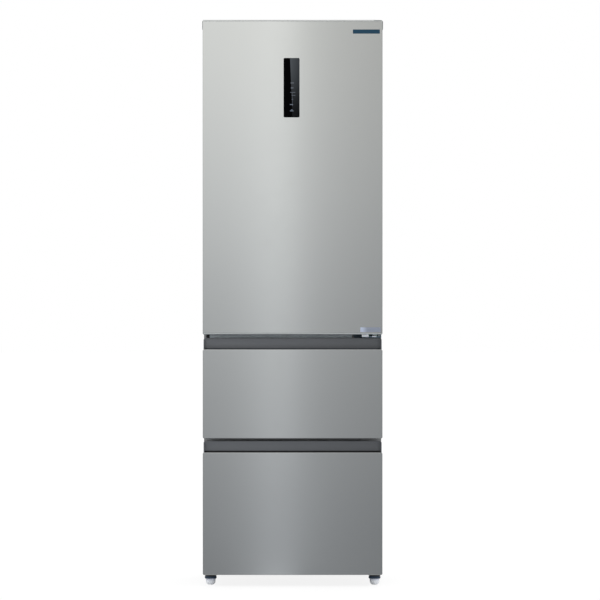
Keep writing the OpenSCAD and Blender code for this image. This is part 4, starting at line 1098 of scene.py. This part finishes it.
class FRIDGE_OT_feet(Operator):
    """Turns the fluted feet and the rollers"""

    bl_idname = "fridge.feet"
    bl_label = "Feet and rollers"

    def execute(self, context):
        collars = []
        for side in ("left", "right"):
            collars.append(self.foot("foot_" + side))
            self.roller("roller_" + side)
        piece("foot_collars", collars, "base_dark/collar", "cabinet")
        softened("roller_axles", "zinc", 0.0004)
        return {"FINISHED"}

    def foot(self, node):
        """A turned foot with flutes 0.5 mm * (1 + cos 20 a) / 2 deep. Gives back its collar's shape."""
        low, high = corners(node)
        middle, half = centred(low, high)
        r, tall = half[0], high[2] - low[2]
        ray, _ = rays(30)
        plain = np.zeros(len(ray))
        flute = 0.0005 * (1 + np.cos(20 * np.arctan2(ray[:, 1], ray[:, 0]))) / 2
        rows = [
            (0.0002, 0, plain), (0.42 * r, 0, plain), (0.60 * r, 0.0009, plain), (0.73 * r, 0.0026, plain),
            (0.85 * r, 0.0050, plain), (0.93 * r, 0.0082, plain), (0.975 * r, 0.0120, flute),
            (0.995 * r, 0.0166, flute), (r, 0.0200, flute), (r, 0.0210, flute), (r, 0.0222, plain),
            (r, 0.0255, plain), (r - 0.0010, 0.0268, plain), (r - 0.0020, 0.0273, plain),
            (0.0040, 0.0273, plain), (0.0040, tall - 0.001, plain), (0.0032, tall, plain),
        ]
        profile = stacked([(wide - cut, up) for wide, up, cut in rows], low[2])
        remade(node + "_turned", [turned(middle[:2], profile, "z", 30)], "foot_plastic", node)
        inner, outer, foot, top = r + 0.0003, r + 0.0035, low[2] + 0.0205, low[2] + 0.0278
        skirt = path(
            (inner, foot), (outer - 0.0012, foot), (outer, foot + 0.0016), (outer, top), (inner, top)
        )
        return turned(middle[:2], skirt, "z", 12, ring=True)

    def roller(self, node):
        """A ring, the same on both sides: bore, recessed web, tyre with rounded shoulders."""
        low, high = corners(node)
        middle, half = centred(low, high)
        side, r, shoulder = low[0], half[2], 0.0025
        one = path(
            (0.0033, side + 0.001), (0.0070, side + 0.001), (0.0075, side + 0.004),
            (r - 0.006, side + 0.004), (r - 0.005, side + 0.0005),
            arc((r - shoulder, side + shoulder), shoulder, -1, 0, 5),
        )
        other = one[::-1] * (1, -1) + (0, low[0] + high[0])
        wheel = turned(middle[[1, 2]], path(one, other), "x", 14, ring=True)
        remade(node + "_turned", [wheel], "foot_plastic", node)


# Section of a seal: offset from the ring's outer edge, and share of its depth
SEAL_SECTION = np.array([
    (-0.002, 0), (-0.016, 0), (-0.016, 0.18), (-0.0135, 0.26), (-0.0165, 0.36), (-0.018, 0.50),
    (-0.018, 0.90), (-0.0172, 1), (-0.0010, 1), (0, 0.90), (0, 0.62), (-0.0012, 0.54), (0, 0.46),
    (-0.0012, 0.38), (-0.0040, 0.28), (-0.002, 0.18),
])


class FRIDGE_OT_seals(Operator):
    """Makes the three magnetic seals"""

    bl_idname = "fridge.seals"
    bl_label = "Seals"

    def execute(self, context):
        corner = context.scene.fridge_interior.seal_corner
        for node in ("door_gasket", "upper_drawer_gasket", "lower_drawer_gasket"):
            low, high = corners(node)
            profile = SEAL_SECTION * (1, high[1] - low[1]) + (0, low[1])
            ring = carried_front(low, high, corner, profile, 4, ring=True)
            remade(node + "_bellows", [ring], "seal_grey", node, flat=False)
        return {"FINISHED"}


class FRIDGE_OT_liners(Operator):
    """Makes the moulded liners and ducts"""

    bl_idname = "fridge.liners"
    bl_label = "Liners"

    def execute(self, context):
        pick = context.scene.fridge_interior
        self.fridge_tub(pick)
        self.door_liner(pick)
        softened("freezer_liners", "liner_white", 0.0005)
        softened("fridge_duct", "duct_grey", 0.0006)
        softened("freezer_duct", "liner_white", 0.0012)
        softened("upper_drawer_core", "white_core", 0.0012)
        softened("lower_drawer_core", "white_core", 0.0012)
        return {"FINISHED"}

    def fridge_tub(self, pick):
        """One shell: outside, front edge, inside with round corners; then a ledge for each glass end."""
        low, high = corners("fridge_liner")
        front, back, wall, bend, edge = low[1], high[1], 0.0015, pick.liner_corner, 0.0004
        profile = path(
            (-0.004, back), (0, back - 0.004), (0, front + edge), (-edge, front),
            (0.0003 - wall, front), (-wall, front + edge),
            arc((-wall - bend, back - wall - bend), bend, 0, 1, 6),
        )
        parts = [carried_front(low, high, bend + wall, profile, 6)]
        glass_low, glass_high = corners("glass_shelves")
        glass, set_back, inner = 0.004, 0.017, (high[0] - low[0]) / 2 - wall
        for foot in np.linspace(glass_low[2], glass_high[2] - glass, 4):
            for side in (-1, 1):
                first = (side * (inner - 0.0098), glass_low[1] + set_back, foot - 0.0078)
                last = (side * (inner + 0.0005), glass_high[1] - set_back, foot - 0.0001)
                parts.append(soft_block(first, last, 0.002, "x"))
        remade("fridge_tub", parts, "liner_white", "fridge_liner")

    def door_liner(self, pick):
        """A panel with a rounded edge, and a raised border with a round crown."""
        low, high = corners("door_liner")
        back, top, edge = corners("door_gasket")[0][1], high[1], 0.0004
        panel = path((-0.002, low[1]), (0, low[1] + edge), (0, back - edge), (-0.0006, back))
        crown, root, waist = 0.0055, back - 0.0005, back + 0.006
        border = path(
            (0, root), (-0.0006, waist), arc((-crown - 0.001, top - crown), crown, 0, 1, 5),
            arc((crown - 0.013, top - crown), crown, 1, 2, 5), (-0.0134, waist), (-0.014, root),
        )
        border_low, border_high = np.array([-0.2425, 0, 0.875]), np.array([0.2425, 0, 1.818])
        parts = [
            carried_front(low, high, 0.004, panel, 4),
            carried_front(border_low, border_high, pick.dyke_corner, border, ring=True),
        ]
        remade("door_liner_moulding", parts, "liner_white", "door_liner")


class FRIDGE_OT_shelves(Operator):
    """Makes the glass levels with their trims and the lamp lens"""

    bl_idname = "fridge.shelves"
    bl_label = "Shelves and lamp"

    def execute(self, context):
        lit_through(softened("glass_shelves", "shelf_glass", 0.0006))
        softened("shelf_trims", "trim_white", 0.0007)
        self.lamp_cover()
        return {"FINISHED"}

    def lamp_cover(self):
        """A lens with eight ribs along its lower face."""
        low, high = corners("lamp_lens")
        inset, half_rib, depth = 0.006, 0.0012, 0.002
        parts = [soft_block(low, high, 0.0022)]
        for y in np.linspace(low[1] + inset, high[1] - inset, 8):
            first = (low[0] + inset, y - half_rib, low[2])
            last = (high[0] - inset, y + half_rib, low[2] + depth)
            parts.append(soft_block(first, last, 0.0007, "x"))
        lit_through(remade("lamp_cover", parts, "lens", "lamp_lens"))


class FRIDGE_OT_bins(Operator):
    """Moulds the clear bins, crispers and baskets"""

    bl_idname = "fridge.bins"
    bl_label = "Bins and baskets"

    def execute(self, context):
        pick = context.scene.fridge_interior
        self.balconies(pick)
        self.clear("bottle_rack", [open_bin(*corners("bottle_bin"), pick)], "bottle_bin")
        self.crisper("crisper_left", pick)
        self.crisper("crisper_right", pick)
        basket = open_bin(*corners("upper_drawer_basket"), pick)
        self.clear("upper_basket", [basket], "upper_drawer_basket")
        lit_through(softened("lower_drawer_basket", "clear_plastic", 0.0009, 3))
        return {"FINISHED"}

    def clear(self, name, parts, node):
        """A clear piece that stands for one CAD node."""
        lit_through(remade(name, parts, "clear_plastic", node))

    def balconies(self, pick):
        """Three bins one above another on the door."""
        low, high = corners("balconies")
        tall = 0.078
        parts = []
        for foot in np.linspace(low[2], high[2] - tall, 3):
            first, last = np.array([*low[:2], foot]), np.array([*high[:2], foot + tall])
            parts.append(open_bin(first, last, pick))
        self.clear("balcony_bins", parts, "balconies")

    def crisper(self, node, pick):
        """A bin with a lip along its front to pull it by."""
        low, high = corners(node)
        front, inset = low[1] + 0.009, 0.030
        tray = open_bin(np.array([low[0], front, low[2]]), high, pick)
        lip_low = (low[0] + inset, low[1], high[2] - 0.016)
        lip_high = (high[0] - inset, front + 0.002, high[2] - 0.012)
        self.clear(node + "_drawer", [tray, soft_block(lip_low, lip_high, 0.0015)], node)


class FRIDGE_OT_slides(Operator):
    """Rounds the telescopic slides"""

    bl_idname = "fridge.slides"
    bl_label = "Slides"

    def execute(self, context):
        rails = ("fixed", "upper_middle", "lower_middle", "upper_drawer", "lower_drawer")
        for rail in rails:
            softened(rail + "_slides", "zinc", 0.0003)
        for level in ("upper", "lower"):
            self.stops(level)
        return {"FINISHED"}

    def stops(self, level):
        """A moulded stop that closes the front end of each middle rail, inside the drawer's rail."""
        node = level + "_middle_slides"
        low, high = corners(node)
        inset, near, web = 0.0039, low[1] + 0.0004, high[0] - 0.0015
        foot, top = low[2] + inset, high[2] - inset
        parts = [
            soft_block((side * (web - 0.0135), near, foot), (side * web, near + 0.009, top), 0.0012)
            for side in (-1, 1)
        ]
        piece(level + "_slide_stops", parts, "nylon", body_of(node))


class FRIDGE_OT_cooling(Operator):
    """Dresses the fan, the evaporator and the machine room"""

    bl_idname = "fridge.cooling"
    bl_label = "Cooling system"

    def execute(self, context):
        self.fan()
        self.compressor()
        softened("fan_motor", "black_plastic", 0.0006)
        softened("evaporator", "fin_metal", 0)
        softened("condenser", "black_paint", 0)
        softened("refrigerant_tubes", "copper", 0)
        softened("compressor_mounts", "rubber_black", 0.0015, 3)
        softened("drip_tray", "black_plastic", 0.0008)
        softened("mains_inlet", "black_plastic", 0.0006)
        self.control_box()
        return {"FINISHED"}

    def fan(self):
        """Hub with a rounded nose, and five blades with s from hub to tip and t across the blade.

        Angle = a + 0.30 s + (0.95 - 0.15 s) t, depth = 11.5 mm * (1 - 0.35 s) t + 1.5 mm * cos(pi t).
        """
        low, high = corners("fan_rotor")
        middle, half = centred(low, high)
        front, back, bore = low[1], high[1], 0.0028
        hub = path(
            (bore, front + 0.0015), arc((0.0085, front + 0.003), 0.003, -1, 0, 4),
            (0.0115, back - 0.001), (0.0105, back), (bore, back),
        )
        remade("fan_hub", [turned(middle[[0, 2]], hub, "y", 8, ring=True)], "trim_white", "fan_rotor")
        rows, columns = 10, 9
        s, t = np.meshgrid(np.linspace(0, 1, rows), np.linspace(-0.5, 0.5, columns), indexing="ij")
        reach = 0.010 + (half[2] - 0.0105) * s
        depth = middle[1] + 0.0115 * (1 - 0.35 * s) * t + 0.0015 * np.cos(math.pi * t)
        blades = []
        for turn in np.arange(5) * 2 * math.pi / 5:
            angle = turn + 0.30 * s + t * (0.95 - 0.15 * s)
            x, z = middle[0] + reach * np.cos(angle), middle[2] + reach * np.sin(angle)
            points = np.stack([x, depth, z], axis=-1).reshape(-1, 3)
            blades.append((points, quads(rows, columns, ring_columns=False), []))
        walled(piece("fan_blades", blades, "trim_white", "fan", flat=False), 0.0012, 0)

    def compressor(self):
        """A turned shell with a weld seam under a round dome, on its plate, with terminals and stubs."""
        low, high = corners("compressor")
        x, y, r = -0.12375, (low[1] + high[1]) / 2, 0.076
        foot, seam, brow = low[2], low[2] + 0.046, low[2] + 0.092
        turn = np.linspace(0, math.pi / 2 - 0.01, 12)
        dome = np.stack([r * np.cos(turn), brow + (high[2] - brow) * np.sin(turn)], axis=1)
        shell = path(
            (0.001, foot + 0.003), (r - 0.012, foot + 0.003),
            arc((r - 0.010, foot + 0.014), 0.010, -1, 0, 5), (r, seam - 0.001),
            arc((r + 0.002, seam + 0.0012), 0.0015, -1, 1, 6),
            arc((r + 0.002, seam + 0.0042), 0.0010, -1, 1, 4), (r, seam + 0.006), dome,
        )
        plate_low, plate_high = (low[0], y - 0.0608, foot), (x + 0.084, y + 0.0608, foot + 0.003)
        box_low = (low[0] + 0.002, low[1] + 0.002, foot + 0.03)
        box_high = (x - 0.045, low[1] + 0.032, foot + 0.075)
        stub = path((0.0045, x + 0.070), (0.0045, high[0] - 0.001), (0.0040, high[0]))
        parts = [
            turned((x, y), shell, "z", 14),
            soft_block(plate_low, plate_high, 0.0014),
            soft_block(box_low, box_high, 0.004),
            turned((y - 0.018, 0.1184), stub, "x", 5),
            turned((y + 0.018, 0.1184), stub, "x", 5),
        ]
        remade("compressor_shell", parts, "black_paint", "compressor")

    def control_box(self):
        """A box and its lid, with a groove between them that shows the inner wall."""
        low, high = corners("control_board")
        joint = low[2] + (high[2] - low[2]) * 0.72
        inset, groove, lap = 0.001, 0.0006, 0.002
        inner_low = (low[0] + inset, low[1] + inset, joint - lap)
        inner_high = (high[0] - inset, high[1] - inset, joint + lap)
        parts = [
            soft_block(low, (high[0], high[1], joint - groove), 0.003),
            soft_block(inner_low, inner_high, 0.0008),
            soft_block((low[0], low[1], joint + groove), high, 0.003),
        ]
        remade("control_box", parts, "duct_grey", "control_board")


# Stage

# The graded panel's brightness by height, and its brightness across, from 1.5 m left of the middle
LEVEL_CURVE = (
    (0.0, 0.465), (0.3, 0.555), (0.6, 0.635), (0.9, 0.74),
    (1.2, 0.87), (1.5, 0.96), (1.9, 1.03), (3.6, 1.05),
)
ACROSS_CURVE = (
    (0.0, 0.96), (1.2, 0.97), (1.36, 1.0), (1.41, 1.13), (1.49, 1.14),
    (1.53, 0.72), (1.65, 0.67), (1.80, 0.60), (2.0, 0.54), (3.0, 0.50),
)
# What a narrow band low on the panel adds, and what its lower left takes away
BRIGHT_BAND = 0.085
LOW_LEFT = 0.34
# Lamps: place, turn in degrees, width and height, power
LAMPS = {
    "overhead": ((0.6, -0.4, 4.2), (0, 0, 0), (3.2, 3.2), 48),
    "left_side": ((-4.4, 0.6, 2.2), (0, -68, 0), (3.0, 3.0), 70),
    "right_side": ((4.4, -0.2, 2.0), (0, 70, 0), (3.0, 3.0), 55),
    "behind": ((0.8, 4.6, 2.4), (70, 0, 170), (3.4, 3.0), 90),
}


class FRIDGE_OT_stage(Operator):
    """Sets the camera, the floor and the studio light"""

    bl_idname = "fridge.stage"
    bl_label = "Stage"

    def execute(self, context):
        pick = context.scene.fridge_stage
        context.scene.view_settings.view_transform = "Standard"
        self.camera(context, pick)
        self.floor(pick)
        self.scrim(pick)
        self.sides(pick)
        self.world(context, pick)
        for name, settings in LAMPS.items():
            self.lamp(name, *settings)
        near, upright = pick.scrim_y + 0.05, (90, 0, 0)
        self.lamp("front_fill", (0, near, 1.1), upright, (2.4, 2.0), 8)
        self.lamp("low_front", (0, near, 0.13), upright, (2.4, 0.20), 6.2)
        return {"FINISHED"}

    def camera(self, context, pick):
        """Tilted so that the picture's height at the fronts lies in its middle."""
        front_y = -0.33
        data = bpy.data.cameras.new("photo_camera")
        data.sensor_width, data.lens = 36, pick.lens
        data.clip_end = 120
        tilt = math.atan2(pick.aim_z - pick.camera_z, pick.distance + front_y)
        made = bpy.data.objects.new("photo_camera", data)
        made.location = (pick.camera_x, -pick.distance, pick.camera_z)
        made.rotation_euler = (math.pi / 2 + tilt, 0, 0)
        context.scene.collection.objects.link(made)
        context.scene.camera = made

    def card(self, name, points, paper):
        """One flat face of the stage."""
        mesh = bpy.data.meshes.new(name)
        mesh.from_pydata(points, [], [list(range(len(points)))])
        mesh.materials.append(paper)
        made = bpy.data.objects.new(name, mesh)
        bpy.context.scene.collection.objects.link(made)
        return made

    def only_mirrored(self, made):
        """Leaves a card to show in reflections alone."""
        made.visible_camera = False
        made.visible_diffuse = False
        made.visible_transmission = False
        made.visible_shadow = False

    def seen_white(self, bench):
        """1 for rays from the camera, off gloss or through glass."""
        ways = bench.node("LightPath").outputs
        kinds = ("Is Camera Ray", "Is Glossy Ray", "Is Transmission Ray")
        return bench.joined("MAXIMUM", [ways[kind] for kind in kinds])

    def floor(self, pick):
        """Pale floor: lit plainly, with white added where it is seen, so that the shadow stays."""
        reach = pick.floor
        made = Finish("floor_paper", roughness=0.9, specular_ior_level=0.1, emission_color=(1, 1, 1, 1))
        away = made.node("VectorMath", operation="LENGTH")
        made.feed(away.inputs[0], made.place())
        white = made.fit(away.outputs["Value"], 0.8, 1.6, 0.87, 1.0)
        gloss = made.node("LightPath").outputs["Is Glossy Ray"]
        seen = self.seen_white(made)
        shown = made.minus(seen, made.times(gloss, 0.85))
        made.feed(made.shader.inputs["Emission Strength"], made.times(shown, white))
        lit = made.mix(gloss, (0.80, 0.80, 0.80), (0.45, 0.45, 0.45))
        rest = made.mix(white, (1.0, 1.0, 1.0), (0.0, 0.0, 0.0))
        made.colour(made.mix(made.minus(seen, gloss), lit, rest))
        square = [(-reach, -reach, 0), (reach, -reach, 0), (reach, reach, 0), (-reach, reach, 0)]
        self.card("floor", square, FINISHES["floor_paper"])

    def scrim(self, pick):
        """A graded panel in front that lights, and a card at its foot that only reflections show."""
        y, half, foot, top, card_z, card_y = pick.scrim_y, 2.6, 0.02, 3.6, 0.01, -0.36
        glow = self.graded_light(pick)
        upright = [(-half, y, foot), (-half, y, top), (half, y, top), (half, y, foot)]
        flat = [(-half, y, card_z), (half, y, card_z), (half, card_y, card_z), (-half, card_y, card_z)]
        self.card("graded_panel", upright, glow).visible_camera = False
        self.only_mirrored(self.card("floor_card", flat, glow))

    def graded_light(self, pick):
        """Strength = level(z) * (across(x) - dimmer low on the left + a narrow brighter band)."""
        glow = bpy.data.materials.new("graded_light")
        glow.use_nodes = True
        tree = glow.node_tree
        tree.nodes.remove(tree.nodes["Principled BSDF"])
        bench = Bench(tree)
        where = bench.parts(bench.place())
        x, z = where["X"], where["Z"]
        level = self.curve(bench, z, 3.6, LEVEL_CURVE)
        across = self.curve(bench, bench.plus(x, 1.5), 3.0, ACROSS_CURVE)
        left = bench.line(x, -0.25, -0.08, 1.0, 0.0)
        low_left = bench.times(bench.line(z, 0.0, 2.05, LOW_LEFT, 0.0), left)
        rise = bench.line(x, -0.135, -0.085, 0.0, 1.0)
        fall = bench.line(x, -0.055, -0.005, 1.0, 0.0)
        band = bench.times(bench.line(z, 0.55, 1.75, BRIGHT_BAND, 0.0), bench.times(rise, fall))
        side = bench.plus(bench.minus(across, low_left), band)
        light = bench.node("Emission")
        bench.feed(light.inputs["Strength"], bench.times(level, side, pick.scrim_level))
        hue = bench.mix(bench.line(z, 0.0, 2.0), (0.953, 0.995, 1.045), (1.0, 1.005, 0.985))
        bench.feed(light.inputs["Color"], hue)
        bench.feed(tree.nodes["Material Output"].inputs["Surface"], light.outputs[0])
        return glow

    def sides(self, pick):
        """Grey cards at both sides that only reflections show."""
        emission = {"emission_color": (0.42, 0.43, 0.44, 1), "emission_strength": 1}
        Finish("side_grey", base_color=(0, 0, 0, 1), specular_ior_level=0, **emission)
        front, back, foot, top = pick.scrim_y, 2.4, 0.02, 3.6
        for x in (-2.7, 2.7):
            upright = [(x, front, foot), (x, back, foot), (x, back, top), (x, front, top)]
            self.only_mirrored(self.card("side_card", upright, FINISHES["side_grey"]))

    def curve(self, bench, value, span, points):
        """A value from 0 to span read off a curve through the points."""
        made = bench.node("FloatCurve")
        line = made.mapping.curves[0]
        for end in (0, -1):
            line.points[end].location = (points[end][0] / span, points[end][1])
        for place, height in points[1:-1]:
            line.points.new(place / span, height)
        made.mapping.use_clip = False
        made.mapping.update()
        bench.feed(made.inputs["Value"], bench.joined("DIVIDE", (value, span)))
        return made.outputs[0]

    def world(self, context, pick):
        """A plain room, white where it is seen."""
        made = context.scene.world or bpy.data.worlds.new("studio")
        context.scene.world = made
        made.use_nodes = True
        bench = Bench(made.node_tree)
        sky = made.node_tree.nodes["Background"]
        sky.inputs["Color"].default_value = (1, 1, 1, 1)
        bench.feed(sky.inputs["Strength"], bench.line(self.seen_white(bench), 0, 1, pick.world_level, 1.0))

    def lamp(self, name, place, turn, sides, power):
        """A rectangular lamp that shows neither itself nor its reflection."""
        data = bpy.data.lights.new(name, "AREA")
        data.shape, data.size, data.size_y = "RECTANGLE", sides[0], sides[1]
        data.energy = power
        made = bpy.data.objects.new(name, data)
        made.location = place
        made.rotation_euler = [math.radians(angle) for angle in turn]
        made.visible_camera = False
        made.visible_glossy = False
        bpy.context.scene.collection.objects.link(made)


GROUPS = {
    "fridge_fronts": FrontSizes,
    "fridge_interior": InteriorSizes,
    "fridge_colours": FinishColours,
    "fridge_stage": StageSizes,
}
OPERATORS = (
    FRIDGE_OT_finishes,
    FRIDGE_OT_steel_fronts,
    FRIDGE_OT_door_ends,
    FRIDGE_OT_grips,
    FRIDGE_OT_display,
    FRIDGE_OT_plates,
    FRIDGE_OT_hinges,
    FRIDGE_OT_cabinet,
    FRIDGE_OT_feet,
    FRIDGE_OT_seals,
    FRIDGE_OT_liners,
    FRIDGE_OT_shelves,
    FRIDGE_OT_bins,
    FRIDGE_OT_slides,
    FRIDGE_OT_cooling,
    FRIDGE_OT_stage,
)


class FRIDGE_PT_panel(Panel):
    """Lists the steps in the 3D view's sidebar."""

    bl_idname = "FRIDGE_PT_panel"
    bl_label = "Fridge freezer"
    bl_space_type = "VIEW_3D"
    bl_region_type = "UI"
    bl_category = "Fridge"

    def draw(self, context):
        for step in OPERATORS:
            self.layout.operator(step.bl_idname)


def register():
    """Registers every class and gives the scene its property groups."""
    for made in (*GROUPS.values(), *OPERATORS, FRIDGE_PT_panel):
        bpy.utils.register_class(made)
    for name, group in GROUPS.items():
        setattr(bpy.types.Scene, name, PointerProperty(type=group))


def unregister():
    """Takes away what register put in."""
    for name in GROUPS:
        delattr(bpy.types.Scene, name)
    for made in reversed((*GROUPS.values(), *OPERATORS, FRIDGE_PT_panel)):
        bpy.utils.unregister_class(made)


def main():
    """Runs every step in order."""
    register()
    for step in OPERATORS:
        group, name = step.bl_idname.split(".")
        getattr(getattr(bpy.ops, group), name)()


if __name__ == "__main__":
    main()
